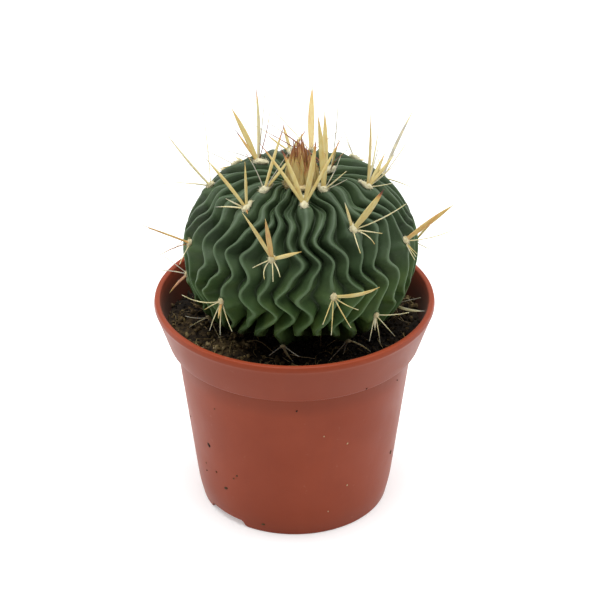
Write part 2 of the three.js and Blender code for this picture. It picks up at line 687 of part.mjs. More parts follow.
function tuftSolid() {
  const frame = tuftFrame();
  const upright = { up: new THREE.Vector3(0, 1, 0), right: frame.right, out: new THREE.Vector3(0, 0, 1) };
  let tuft = cushion(frame, TUFT_WOOL, 0, TUFT_WOOL_SIDES);
  for (let index = 0; index < TUFT_SPINES; index += 1) {
    const turn = index * GOLDEN_ANGLE;
    const away = TUFT_RADIUS * Math.sqrt((index + 0.5) / TUFT_SPINES);
    const lean = TUFT_LEAN[0] + TUFT_LEAN[1] * (away / TUFT_RADIUS) * draw(index + LEAN_SEED);
    const length = lerp(...TUFT_LENGTH, draw(index + LENGTH_SEED));
    const point = frame.point.clone().addScaledVector(frame.right, away * Math.sin(radians(turn)));
    point.addScaledVector(frame.up, TUFT_STRETCH * away * Math.cos(radians(turn)));
    tuft = tuft.add(spineSolid('stout', { ...upright, point }, turn, lean, length));
  }
  return tuft;
}

// ---- Assembly --------------------------------------------------------------------------------

const COLOURS = {
  pot: { color: 0x8f4a38, roughness: 0.45, metalness: 0 },
  soil: { color: 0x1e1813, roughness: 1, metalness: 0 },
  plant: { color: 0x3c5743, roughness: 0.6, metalness: 0 },
  spines: { color: 0xd8c88a, roughness: 0.6, metalness: 0 },
  tuft: { color: 0xc9964f, roughness: 0.6, metalness: 0 },
};

function addPiece(group, name, solid, colours) {
  const mesh = new THREE.Mesh(toGeometry(solid), new THREE.MeshStandardMaterial(colours));
  mesh.name = name;
  group.add(mesh);
}

function pottedCactus() {
  const group = new THREE.Group();
  const areoles = settlePulls(areolePlaces());
  let plant = plantSolid(areoles).subtract(cushion(tuftFrame(), TUFT_WOOL, GAP, TUFT_WOOL_SIDES));
  areoles.forEach((areole, index) => {
    const frame = plantFrame(areole.azimuth, areole.latitude);
    plant = plant.subtract(cushion(frame, WOOL, GAP, WOOL_SIDES));
    addPiece(group, `areole_${String(index).padStart(2, '0')}`, areoleSolid(areole), COLOURS.spines);
  });
  addPiece(group, 'crown_tuft', tuftSolid(), COLOURS.tuft);
  addPiece(group, 'cactus_body', largestBody(plant), COLOURS.plant);
  addPiece(group, 'soil', largestBody(soilSolid()), COLOURS.soil);
  addPiece(group, 'pot', potSolid(), COLOURS.pot);
  return group;
}

export default pottedCactus();
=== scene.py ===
"""Looks of the potted round cactus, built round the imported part.

Shapes are worked out in millimetres and degrees, in the part's own frame, and leave this script in metres.
"""

import math

import bpy
import numpy as np
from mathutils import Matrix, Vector


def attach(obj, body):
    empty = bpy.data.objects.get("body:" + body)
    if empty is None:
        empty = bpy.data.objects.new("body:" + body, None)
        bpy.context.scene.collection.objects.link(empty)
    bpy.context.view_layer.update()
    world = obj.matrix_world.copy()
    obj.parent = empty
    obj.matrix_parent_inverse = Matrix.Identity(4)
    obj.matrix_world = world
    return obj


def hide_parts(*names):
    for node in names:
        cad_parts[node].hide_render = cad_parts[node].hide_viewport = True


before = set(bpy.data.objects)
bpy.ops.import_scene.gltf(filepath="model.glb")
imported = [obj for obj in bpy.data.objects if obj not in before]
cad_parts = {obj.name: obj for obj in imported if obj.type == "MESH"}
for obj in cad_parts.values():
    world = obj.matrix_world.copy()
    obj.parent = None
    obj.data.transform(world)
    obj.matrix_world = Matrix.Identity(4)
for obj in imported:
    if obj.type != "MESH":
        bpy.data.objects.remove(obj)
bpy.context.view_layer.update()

MM = 0.001

# ---- Pot ----

POT_HEIGHT = 68.2
RIM_RADIUS = 42.5
COLLAR_BOTTOM = 54.2
COLLAR_RADIUS = 38.2
LEDGE_RADIUS = 36.1
BODY_FOOT_RADIUS = 30.1
BODY_FOOT_HEIGHT = 5.5
FOOT_RADIUS = 28.8
WALL = 1.1
LIP_WIDTH = 1.9
FLOOR_MIDDLE_RADIUS = 17
FLOOR_LIFT = 2.7
POT_SIDES = 288
NOTCH_AZIMUTHS = (-46.5, 133.5)
NOTCH_SPREAD = 31
NOTCH_HEIGHT = 2.4
DRAIN_HOLES = 6
DRAIN_RADIUS = 2.6
DRAIN_CIRCLE = 22
DRAIN_SIDES = 40
DRAIN_DEPTH = 6
NOTCH_ENDS = (-2.5, 0.6)        # degrees over which a notch fades at its ends
NOTCH_TOP = (3.2, 4.4)          # heights over which the wall above a notch comes back to its own form
FOOT_INSIDE = (2.6, 1.6)        # how far inside the foot's edge a notch starts, and has its full height
CORNER_STEPS = 6
INSIDE_SHADE = 1.0              # painted shade: the inside wall is darkened where it lies in shade
LEDGE_SHADOW = 0.24              # painted shadow: the wall is a little darker under the ledge
COLLAR_SHADE = 0.17             # painted shade on the collar too, which faces the light more
LONG_STRETCH = 1.2              # a longer stretch of the outline than this gets more rings of the mesh:
EDGE_GAP = 0.25                 # one this close to each of its ends,
RING_GAP = 4.0                  # and others between them, less than this apart
SPECK_SEED = 5
# Crumbs of soil and flecks stuck to the pot: azimuth, height, length, turn, tone
POT_SPECKS = (
    (1.2, 49.3, 0.55, 20, 0.1), (-52.6, 27.2, 1.2, -25, 0.25), (-58.9, 18.2, 0.5, 0, 0.45),
    (-59.4, 15.1, 0.6, 40, 0.3), (-49.0, 17.8, 0.5, -50, 0.35), (-35.5, 18.8, 0.5, 10, 0.4),
    (-33.1, 20.4, 0.6, 30, 0.35), (-42.1, 13.4, 1.0, 65, 0.3), (69.0, 19.0, 1.3, 12, 0.4),
    (-73.4, 30.7, 0.45, 0, 0.45), (-43.2, 43.5, 0.4, 70, 0.5), (33.5, 54.9, 0.5, 40, 0.2),
    (60.3, 48.8, 0.4, 0, 0.4), (-18.9, 3.4, 0.9, 80, 0.45), (14.9, 38.8, 0.4, 0, 1.0),
    (28.1, 34.0, 0.55, 60, 1.0), (30.4, 17.3, 0.5, 35, 1.0), (19.6, 8.6, 0.45, 0, 1.0),
    (120, 40, 0.9, 15, 0.3), (141, 22, 0.6, -40, 0.35), (178, 31, 0.7, 60, 0.3),
    (-150, 16, 0.9, 10, 0.35), (-118, 36, 0.5, -20, 0.4), (98, 12, 0.6, 75, 0.3),
)

# ---- Soil ----

SOIL_LEVEL = 58.3
SOIL_GAP = 0.2
SOIL_SIDES = 240
SOIL_RINGS = 64
# Mounds of loose peat: x, y, spread, height
SOIL_MOUNDS = (
    (-19, -17, 7, 2.2), (-36, -2, 10, 2.6), (-30, -20, 7, 1.0), (24, -28, 9, -0.8), (37, 10, 9, 1.2),
    (0, 37, 12, 1.4),
)
# Paler, mossy clumps: x, y, spread, paleness
PALE_CLUMPS = ((-19, -16, 8, 1.3), (-35, -6, 11, 0.7), (37, 10, 9, 0.8), (0, 37, 12, 0.8))
PEAT_TONE = 0.1
MOSSY_TONE = 0.34
# Waves that stand for grains: fineness, height, shift
GRIT_WAVES = ((1.9, 0.35, 0.7), (3.1, 0.28, 2.1), (5.3, 0.2, 4.4), (8.7, 0.12, 1.2))
GRIT_HEIGHT = 0.55
CRUMBS = 3000
CRUMB_SEED = 11
CRUMB_REACH = (8, 38.6)
CRUMB_SIZE = (0.28, 0.75)
FIBRES = 300
FIBRE_SEED = 23
FIBRE_STEPS = 9
FIBRE_SIDES = 4
FIBRE_REACH = (14, 36.5)
FIBRE_EDGE = 38.2

# ---- Plant ----

PLANT_OFFSET = 1.9
PLANT_CENTRE = 85.3
PLANT_RADIUS = 35.1
PLANT_HALF_HEIGHT = 27.35
CROWN_DIP = 6.6
CROWN_SPREAD = 9
# Swellings of the plant near its foot: azimuth and its spread, or None for all round, latitude and its
# spread, size
SWELLINGS = ((0, None, -42, 14, 1.8), (-100, 38, -38, 17, 2.8), (90, 38, -38, 14, 0.8))
# Latitude where the ribs end and the plant draws in under itself: at the front, and elsewhere
FRONT_END = -26
SIDE_END = -46
FRONT_SPREAD = 40
TUCK = 8.0
TUCK_BAND = 14
KNOBS = (21, 24, 26)            # numbers of the low areoles whose ribs hang further down
KNOB_WIDTH = 7
KNOB_BAND = 8
NECK_RADIUS = 8.5
NECK_BOTTOM = 49
LOWEST_RIB = -66
HIGHEST_RIB = 84
RIBS = 36
RIB_STEP = 360 / RIBS
RIB_PHASE = 3.3
RIB_DEPTH = 4.6
CREST_WIDTH = 1.25
CROWN_SWELL = 1.2               # the ribs are thicker and rounder at the crown
CROWN_SWELL_LATITUDES = (22, 58)
SUNKEN_CREST = 0.6              # a rib that dies out swells less by this share
WIDEST_CREST = 0.42             # half a crest takes up at most this share of its rib's width
FOOT_SWELL = 0.8                # the ribs are thicker at their lower ends too
CROWN_RISE = 1.3                # some ribs stand higher than others round the crown, by up to this
CROWN_RISE_LATITUDE = 50
CROWN_RISE_BAND = 17
CROWN_SINK = 0.7                # every other rib dies out there, by this share of the grooves' depth
CROWN_SINK_LATITUDES = (42, 58)
RISE_SEED = 500
DEPTH_SHARE = 1.2               # a groove is at most this many times as deep as its rib is wide
NECK_FADE = 12                  # the grooves end over this many degrees above the neck
RIB_ROWS = 136
# Columns of the mesh from a rib's crest to its groove, as shares of half the rib's width
HALF_RIB = (0, 0.05, 0.1, 0.15, 0.2, 0.27, 0.38, 0.52, 0.68, 0.84)
FOOT_GROOVES = 3.4              # the grooves are this much deeper between the ribs' lower ends
FOOT_GROOVES_BAND = 18
FOOT_SWELL_BAND = 22
HOOK_TURN = 10                  # the ribs' lower ends curl to the left by this, most of all at one azimuth
HOOK_AZIMUTH = -25
HOOK_SPREAD = 40
HOOK_START = 12
HOOK_BAND = 16
# What an areole does to its own rib: size, how far above the areole, band
PAD_SWELL = (1.3, -2.5, 4.2)    # the crest is wider here
PAD_CHIN = (0.9, -4.0, 3.6)     # stands out here
PAD_BROW = (0.5, 1.2, 2.2)      # and draws in here
PAD_REACH = 4.2                 # over about this many degrees to both sides
PAD_CALM = (9, 16)              # the ribs don't rise at the crown this near to an areole
CREST_FADE = 0.7                # how the rise of a crest fades towards its grooves
PUSH = 9.5
PUSH_ROOT = 9.4
PUSH_REACH = 29
PUSH_BAND = 6.5
PUSH_DROP = 2.9
PULL_REACH = 17
PULL_BAND = 17

GOLDEN_ANGLE = 137.508
FIRST_AZIMUTH = 3
FIRST_LATITUDE = 57
LATITUDE_STEP = 4.1
CROWN_LATITUDE_STEP = 2.7
YOUNGEST = -6
OLDEST = 26
PULL_ROUNDS = 12
PULL_STEP = 0.8
# How far an areole stands from its place on the spiral: azimuth, latitude
SHIFTS = {
    -6: (-6, 2), -5: (-13, -7), -3: (-27, 2), -2: (-34, 4), -1: (0, -17), 0: (0, 1), 1: (0, -15),
    2: (-14, 6), 3: (6, 5), 5: (-2, 3), 6: (2, 7), 7: (6, 1), 8: (2, 2), 10: (-2, 3), 11: (-2, 2),
    16: (-4, 0), 18: (-7, -3), 21: (-6, -13), 23: (4, -6), 24: (-10, 0), 26: (4, 4),
}

# ---- Spines ----

# width, thickness, points round the section, how much of the width the root keeps
SPINE_KINDS = {
    "blade": (1.8, 0.62, 14, 0.7),
    "broad": (1.4, 0.6, 12, 0.75),
    "stout": (1.12, 0.56, 12, 0.8),
    "fine": (0.5, 0.42, 8, 1.0),
    "thin": (0.34, 0.3, 7, 1.0),
    "hair": (0.32, 0.28, 5, 1.0),
}
WIDEST = 0.42                   # a spine is widest at this share of its length
TAPER = 2.1
TIP_WIDTH = 0.2
BULB_LENGTH = 1.6
ROOT_BULB = 0.35                # a spine's root is swollen by this share of its width
ROOT_TONE = 0.1                 # and more golden
ROWS_PER_MM = 1.4
FEWEST_ROWS = 10
WIDTH_SPREAD = 0.2
BOW = 0.045                     # a spine bows by its length times this, times a draw from -0.35 to 0.65
TWIST = 50
ROLL = 16
# Seeds of a spine's width, bow, twist and roll
SPINE_SEEDS = (7, 1, 3, 4)
# Tones along the colour ramp of the spines
GREY, CREAM, STRAW, GOLD, ORANGE, RUSSET, DARK = 0.0, 0.16, 0.33, 0.5, 0.68, 0.84, 1.0
# The spines of the areoles at the front and the sides, as they have grown: kind, turn, lean, length, how
# far the middle bows aside, tone, and tone of the tip
GROWN_SPINES = {
    -6: (("fine", 45, 45, 22, 0.3, RUSSET, GREY), ("thin", 45, 56, 27, 0.6, RUSSET, GREY),
         ("fine", -161, 30, 11, 0, STRAW, GOLD), ("hair", -120, 50, 16, 0.8, RUSSET, GREY),
         ("hair", 131, 45, 23.2, 0.5, GREY, GREY)),
    -5: (("broad", -5, 45, 19.4, 0.2, STRAW, DARK), ("stout", 14, 60, 14.9, 0.3, STRAW, RUSSET),
         ("hair", -70, 40, 12, 0.5, GREY, RUSSET), ("hair", 40, 40, 17, -0.6, GREY, GREY)),
    -4: (("stout", 170, 40, 9, 0, STRAW, RUSSET), ("stout", -120, 50, 8, 0, STRAW, RUSSET),
         ("stout", 100, 50, 9, 0, STRAW, RUSSET)),
    -3: (("blade", 15, 30, 21.8, 0.2, STRAW, GOLD), ("blade", 27, 45, 23.4, 0.3, STRAW, GOLD),
         ("fine", 110, 45, 9, 0.3, CREAM, CREAM), ("hair", 60, 50, 12, 0.5, GREY, GREY),
         ("hair", 140, 50, 9, 0.4, GREY, GREY)),
    -2: (("blade", -158, 30, 17.8, 0.2, STRAW, GOLD), ("stout", 177, 30, 11.9, -0.3, GOLD, DARK),
         ("stout", -107, 30, 22.5, 0.5, CREAM, RUSSET), ("hair", -92, 30, 21.4, 0.3, GREY, GREY),
         ("hair", -73, 30, 15.1, 0.3, RUSSET, GREY), ("hair", 150, 60, 10, 0.6, GREY, GREY)),
    -1: (("hair", 63, 45, 9.5, 0.2, GREY, GREY), ("hair", 113, 60, 12.1, 0.3, GREY, GREY),
         ("stout", 180, 72, 6, 0, STRAW, GOLD)),
    0: (("blade", 16, 45, 19.3, 0.3, STRAW, RUSSET), ("broad", -30, 45, 17.6, 0.2, STRAW, DARK),
        ("stout", -51, 45, 22.9, 0.3, STRAW, RUSSET), ("stout", 43, 45, 22.8, 0.2, STRAW, RUSSET)),
    1: (("stout", 175, 75, 8, 0, STRAW, STRAW), ("fine", 150, 70, 6, 0, STRAW, STRAW),
        ("fine", -150, 70, 6, 0, STRAW, STRAW), ("hair", -177, 45, 15.6, 0.3, GREY, GREY)),
    # The first blades of areoles 2 and 4 are a tone darker than straw (STRAW + 0.04): painted shade for the
    # stronger light on them
    2: (("blade", 19, 30, 22.1, 0.2, STRAW + 0.04, GOLD), ("fine", 60, 45, 18.2, 0.3, CREAM, GREY),
        ("stout", 100, 45, 13.6, 0.3, STRAW, GREY), ("fine", 109, 60, 12.1, 0.3, CREAM, GREY),
        ("hair", 66, 45, 16.6, 0.2, GREY, GREY), ("hair", 150, 60, 7.9, 0.4, CREAM, GREY),
        ("stout", 84, 45, 11.5, 0.2, STRAW, GOLD)),
    3: (("stout", -17, 45, 13.9, 0.1, STRAW, GOLD), ("stout", -72, 45, 19.1, 0.3, STRAW, GREY),
        ("fine", -99, 60, 6.8, 0, CREAM, GREY), ("fine", -130, 60, 8.9, 0.3, CREAM, GREY),
        ("fine", 122, 62, 4, 0, ORANGE, GOLD)),
    # STRAW + 0.04 on this blade: painted shade, as above
    4: (("blade", 160, 15, 23.5, 0.2, STRAW + 0.04, GOLD), ("hair", 100, 45, 20.9, 0.4, STRAW, GREY),
        ("hair", -112, 45, 11.8, 0.4, GREY, GREY), ("fine", 178, 62, 8, 0.3, CREAM, CREAM)),
    5: (("blade", 55, 45, 14.9, 0.2, STRAW, DARK), ("thin", 85, 60, 21.5, 1.1, CREAM, GREY),
        ("stout", -10, 60, 8.5, 0, STRAW, GREY), ("thin", 129, 60, 8.6, 0, CREAM, STRAW),
        ("thin", 163, 60, 8.3, -0.9, CREAM, GOLD), ("thin", -158, 66, 9.6, 0.2, CREAM, STRAW)),
    6: (("blade", 47, 15, 22.8, 0.3, CREAM, STRAW), ("hair", -58, 45, 23.9, 0.4, CREAM, GREY),
        ("hair", -160, 60, 18.7, 0.4, STRAW, GREY), ("fine", -178, 45, 7.6, 0.2, CREAM, GOLD)),
    7: (("blade", 20, 18, 22.5, 0.3, GREY, CREAM), ("hair", 112, 15, 19.7, 0.3, CREAM, GREY),
        ("fine", 100, 60, 12, 0.4, CREAM, GREY), ("fine", -140, 66, 9, 0.3, CREAM, STRAW)),
    8: (("blade", -5, 45, 14.9, 0.1, GOLD, GOLD), ("stout", 73, 60, 11.5, 0.1, STRAW, GOLD),
        ("stout", -36, 60, 16.4, 0.2, STRAW, STRAW), ("thin", -126, 62, 6.4, 0.1, CREAM, CREAM),
        ("thin", -175, 62, 6.9, 1.1, CREAM, STRAW), ("thin", 162, 62, 7.6, -0.1, CREAM, CREAM),
        ("thin", 141, 60, 7.2, -0.3, CREAM, CREAM)),
    9: (("blade", 165, 25, 12, 0.2, STRAW, GOLD), ("stout", 128, 62, 9, 0.4, STRAW, STRAW),
        ("stout", -110, 62, 8, -0.4, STRAW, STRAW), ("fine", 180, 66, 8.3, 0.2, CREAM, CREAM)),
    10: (("blade", 75, 45, 18, 0.1, GOLD, STRAW), ("hair", 105, 45, 19.1, 1.2, CREAM, GREY),
         ("thin", -175, 62, 5.4, 0.1, STRAW, CREAM), ("thin", -165, 66, 5.9, 0.1, STRAW, CREAM),
         ("thin", -152, 68, 6.7, 0.1, CREAM, CREAM)),
    11: (("blade", 17, 15, 17.2, -0.9, GOLD, ORANGE), ("thin", -90, 30, 13, 0, ORANGE, GOLD),
         ("thin", -160, 42, 9.9, 0.4, ORANGE, GREY), ("thin", 125, 62, 8.6, 0.2, CREAM, CREAM)),
    13: (("stout", 69, 60, 14.4, 1.1, STRAW, GOLD), ("thin", -144, 60, 8.9, 0, STRAW, CREAM),
         ("thin", -166, 60, 11.1, 0, STRAW, CREAM), ("thin", 156, 60, 10.3, 0.1, STRAW, CREAM),
         ("thin", 118, 60, 8.2, 0.4, STRAW, CREAM)),
    14: (("stout", -110, 40, 12, 0.3, STRAW, GOLD), ("thin", 151, 60, 15, 0.4, CREAM, GREY),
         ("thin", -60, 60, 10, 0.2, CREAM, CREAM), ("thin", 180, 50, 9, 0.2, CREAM, CREAM)),
    15: (("thin", 139, 45, 10.5, 0.2, CREAM, GREY), ("stout", -20, 66, 9, 0.2, STRAW, STRAW),
         ("thin", 60, 66, 7, 0.2, CREAM, CREAM)),
    16: (("thin", -79, 60, 11.8, -1.7, CREAM, CREAM), ("thin", -122, 52, 6.0, 0.2, CREAM, GOLD),
         ("stout", 165, 48, 5.2, 0, GOLD, STRAW), ("thin", -167, 60, 10.1, 0.2, CREAM, GREY),
         ("thin", 165, 60, 10, 0, CREAM, GREY), ("thin", 137, 68, 9.4, 0.5, CREAM, CREAM)),
    18: (("thin", 79, 60, 10, 0.9, CREAM, CREAM), ("thin", -148, 60, 8, 0, CREAM, GREY),
         ("thin", 175, 60, 9.5, 0, CREAM, GREY), ("thin", 141, 60, 10.6, 0, CREAM, GREY),
         ("stout", -169, 60, 4.8, 0, CREAM, CREAM)),
    19: (("thin", -103, 42, 14.5, 0.3, GREY, GREY), ("thin", -45, 45, 9, 0.2, GREY, GREY),
         ("stout", -155, 50, 11, 0.2, ORANGE, STRAW)),
    21: (("stout", 155, 58, 7.2, 0.5, CREAM, GREY), ("thin", -127, 60, 6.2, 0, GREY, GREY),
         ("thin", 88, 60, 5.8, 0, GREY, GREY)),
    23: (("stout", -28, 62, 11, -1.0, CREAM, GREY), ("thin", 15, 66, 8.5, 0.2, GREY, GREY)),
    24: (("thin", -14, 60, 7.5, 1.2, GREY, GREY), ("thin", -104, 48, 10.5, 0.4, CREAM, GREY),
         ("thin", 156, 58, 7.6, 0.3, CREAM, GREY)),
    26: (("stout", 95, 50, 8.5, -0.8, CREAM, GREY), ("thin", -133, 58, 8.6, 0.2, GREY, GREY),
         ("thin", -175, 50, 6, 0, GREY, GREY)),
}
# What every other areole carries, before each spine is turned and lengthened a little at random
USUAL_SPINES = (
    ("blade", 0, 38, 18, 0.2, STRAW, GOLD), ("stout", 68, 58, 13, 0.4, STRAW, STRAW),
    ("stout", -68, 58, 13, -0.4, STRAW, STRAW), ("fine", 125, 66, 8.5, 0.4, CREAM, CREAM),
    ("fine", 180, 66, 8, 0.2, CREAM, CREAM), ("fine", -125, 66, 8.5, -0.4, CREAM, CREAM),
)
# Blades of the usual set that point another way: turn, lean, length
STRAY_BLADES = {12: (-150, 25, 15), 17: (170, 20, 14)}
TURN_SPREAD = 24
LENGTH_SPREAD = 0.3
LENGTH_SEED = 300
LOW_LATITUDE = -15              # areoles below this carry only the first few usual spines, and shorter ones
LOW_LENGTH = 0.5
LOW_SPINES = 4
HIGH_LATITUDE = 55              # and on those above this, the spines lean less
HIGH_LEAN = 0.45

WOOL = (1.9, 1.45, 1.1)         # half a cushion's length, width and height
WOOL_LIFT = 0.35
WOOL_TAIL = 1.3                 # young cushions are drawn out upwards by this many times half their length
WOOL_TAIL_NUMBERS = (1, 8)      # and less and less from the first to the last of these areoles
WOOL_SLOT = 1                   # the wool is the second material of its piece
WOOL_ROWS = 9
WOOL_COLUMNS = 18
WOOL_AGING = 26                 # an areole's wool wears down over this many younger ones
WOOL_FIBRES = 170
WOOL_STEPS = 5
WOOL_SIDES = 3
WOOL_SEED = 400
WOOL_FIBRE_WIDTH = 0.09
NO_GRAIN = {"along": 0, "side": 0, "seed": 0}

TUFT_SPINES = 84
TUFT_RADIUS = 4.6
TUFT_STRETCH = 1.6              # the tuft is longer from front to back
TUFT_SHIFT = -6.0               # and stands in front of the crown's middle
TUFT_TILT_REACH = 5
TUFT_LENGTH = 12.5
# The tuft's spines stand upright, not square to the crown
UPRIGHT = {"up": np.array([0, 1.0, 0]), "right": np.array([1.0, 0, 0]), "out": np.array([0, 0, 1.0])}
TUFT_LEAN = 13
TUFT_LONG = 1.25                # some spines of the tuft's middle are longer by this, and redder
TUFT_TINTED = (0.55, 1.02)
TUFT_TURN = 60
TUFT_BOW = 0.9
TUFT_SEED = 900
# Seeds of a tuft spine's lean, length, kind, tone, tip, bow, turn and whether it is a long one
TUFT_SEEDS = (40, 80, 120, 160, 200, 240, 280, 360)
TUFT_WOOL = (8.2, 5.0, 1.9)
TUFT_WOOL_SEED = 77
TUFT_WOOL_FIBRES = 1200
TUFT_WISPS = 30
WISP_SEED = 31
WISP_STEPS = 12
WISP_SIDES = 4

# ---- Stage and camera ----

FLOOR_HALF = 6.0
# The panels of the light tent, in metres and watts: name, size, place, power
PANELS = (
    ("overhead", 1.0, (0.0, -0.15, 1.3), 21), ("left_panel", 0.9, (-1.1, 0.35, 0.5), 5),
    ("right_panel", 0.9, (1.1, 0.35, 0.5), 5),
)
PANEL_TARGET = (0, 0, 0.06)
SKY = {"From Min": -0.75, "From Max": 0.45, "To Min": 0.16, "To Max": 0.95}
SENSOR_WIDTH = 36
CLIP = (0.01, 20)
CAMERA_DISTANCE = 700
CAMERA_ELEVATION = 30
CAMERA_LENS = 138.72
CAMERA_SIDE = 1.68              # the pot stands a little left of the picture's middle
CAMERA_TARGET_HEIGHT = 66.4


# ---- Numbers ----

def draw(seed):
    """The same number from 0 to 1 for the same seed."""
    value = np.sin(seed * 12.9898) * 43758.5453
    return value - np.floor(value)


def wrap(angle):
    return (angle + 180) % 360 - 180


def bell(x):
    return np.exp(-np.square(x))


def hump(x, size, middle, band):
    return size * bell((x - middle) / band)


def smooth(x, low, high):
    t = np.clip((x - low) / (high - low), 0, 1)
    return t * t * (3 - 2 * t)


def unit(vectors):
    vectors = np.asarray(vectors, float)
    return vectors / np.linalg.norm(vectors, axis=-1, keepdims=True)


def sin(degrees):
    return np.sin(np.radians(degrees))


def cos(degrees):
    return np.cos(np.radians(degrees))


def around(count):
    """Azimuths of this many points, evenly spaced."""
    return np.arange(count) / count * 360


def round_points(radius, azimuth, height):
    """Points by radius, azimuth and height. Azimuth 0 looks at the camera, and 90 is to the right."""
    return np.stack(np.broadcast_arrays(radius * sin(azimuth), -radius * cos(azimuth), height), axis=-1)


# ---- Meshes ----

def put_in_scene(name, data):
    thing = bpy.data.objects.new(name, data)
    bpy.context.scene.collection.objects.link(thing)
    return thing


class Shape:
    """Collects points in millimetres, their faces and their numbers, and makes one piece of them."""

    def __init__(self):
        self.points, self.faces, self.slots, self.numbers = [], [], [], {}
        self.count = 0

    def add(self, points, faces, slot=0, **numbers):
        points = np.asarray(points, float).reshape(-1, 3)
        for name, values in numbers.items():
            kept = self.numbers.setdefault(name, [])
            kept.append(np.broadcast_to(np.asarray(values, float).ravel(), (len(points),)))
        for group in faces if isinstance(faces, list) else [faces]:
            group = np.asarray(group, int)
            if len(group):
                self.faces.append(group + self.count)
                self.slots.append(np.full(len(group), slot))
        self.points.append(points)
        self.count += len(points)

    def piece(self, name, materials, slot, replaces=()):
        mesh = bpy.data.meshes.new(name)
        points = np.concatenate(self.points) * MM
        sizes = np.concatenate([np.full(len(group), group.shape[1]) for group in self.faces])
        corners = np.concatenate([group.ravel() for group in self.faces])
        mesh.vertices.add(len(points))
        mesh.vertices.foreach_set("co", points.astype(np.float32).ravel())
        mesh.loops.add(len(corners))
        mesh.loops.foreach_set("vertex_index", corners.astype(np.int32))
        mesh.polygons.add(len(sizes))
        mesh.polygons.foreach_set("loop_start", (np.cumsum(sizes) - sizes).astype(np.int32))
        mesh.polygons.foreach_set("material_index", np.concatenate(self.slots).astype(np.int32))
        mesh.polygons.foreach_set("use_smooth", np.full(len(sizes), True))
        mesh.update(calc_edges=True)
        mesh.validate()
        for key, values in self.numbers.items():
            attribute = mesh.attributes.new(key, "FLOAT", "POINT")
            attribute.data.foreach_set("value", np.concatenate(values).astype(np.float32))
        for material in materials:
            mesh.materials.append(material)
        piece = put_in_scene(name, mesh)
        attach(piece, "root")
        if replaces:
            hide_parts(*replaces)
        return piece


def grid_faces(rows, columns):
    """Quads of a grid of points, row after row, whose last column joins its first."""
    row, column = np.meshgrid(np.arange(rows - 1), np.arange(columns), indexing="ij")
    after = (column + 1) % columns
    quads = np.stack([row * columns + column, row * columns + after,
                      (row + 1) * columns + after, (row + 1) * columns + column], axis=-1)
    return quads.reshape(-1, 4)


def fan_faces(centre, first, columns, flip=False):
    """Triangles from one point to a ring of points."""
    column = np.arange(columns)
    ring, after = first + column, first + (column + 1) % columns
    hub = np.full(columns, centre)
    return np.stack([hub, after, ring] if flip else [hub, ring, after], axis=-1)


def closed_grid(points, ends):
    """Points and faces of a grid that is closed by one point before its first row and one after its last."""
    rows, columns = points.shape[:2]
    hubs = rows * columns
    faces = [grid_faces(rows, columns), fan_faces(hubs, 0, columns, flip=True),
             fan_faces(hubs + 1, (rows - 1) * columns, columns)]
    return np.concatenate([points.reshape(-1, 3), ends]), faces


def tube_faces(steps, sides, count=1):
    """Faces of tubes whose points follow one another, with a lid at both ends of each."""
    starts = np.arange(count)[:, None] * steps * sides
    quads = (grid_faces(steps, sides) + starts[..., None]).reshape(-1, 4)
    return [quads, np.arange(sides)[::-1] + starts, np.arange(sides) + starts + (steps - 1) * sides]


def tubes(paths, radii, sides):
    """Points and faces of many thin tubes at once. paths is (tubes, steps, 3) and radii is (tubes, steps)."""
    count, steps, _ = paths.shape
    tangents = unit(np.gradient(paths, axis=1))
    helper = np.where(np.abs(tangents[:, :1, 2:]) > 0.8, [[[1.0, 0.0, 0.0]]], [[[0.0, 0.0, 1.0]]])
    across = unit(np.cross(tangents, np.broadcast_to(helper, tangents.shape)))
    other = np.cross(tangents, across)
    angles = np.arange(sides) / sides * 2 * math.pi
    ring = across[:, :, None] * np.cos(angles)[:, None] + other[:, :, None] * np.sin(angles)[:, None]
    points = paths[:, :, None] + ring * radii[:, :, None, None]
    return points.reshape(-1, 3), tube_faces(steps, sides, count)


# ---- Materials ----

NOISE_ROUGHNESS = 0.55


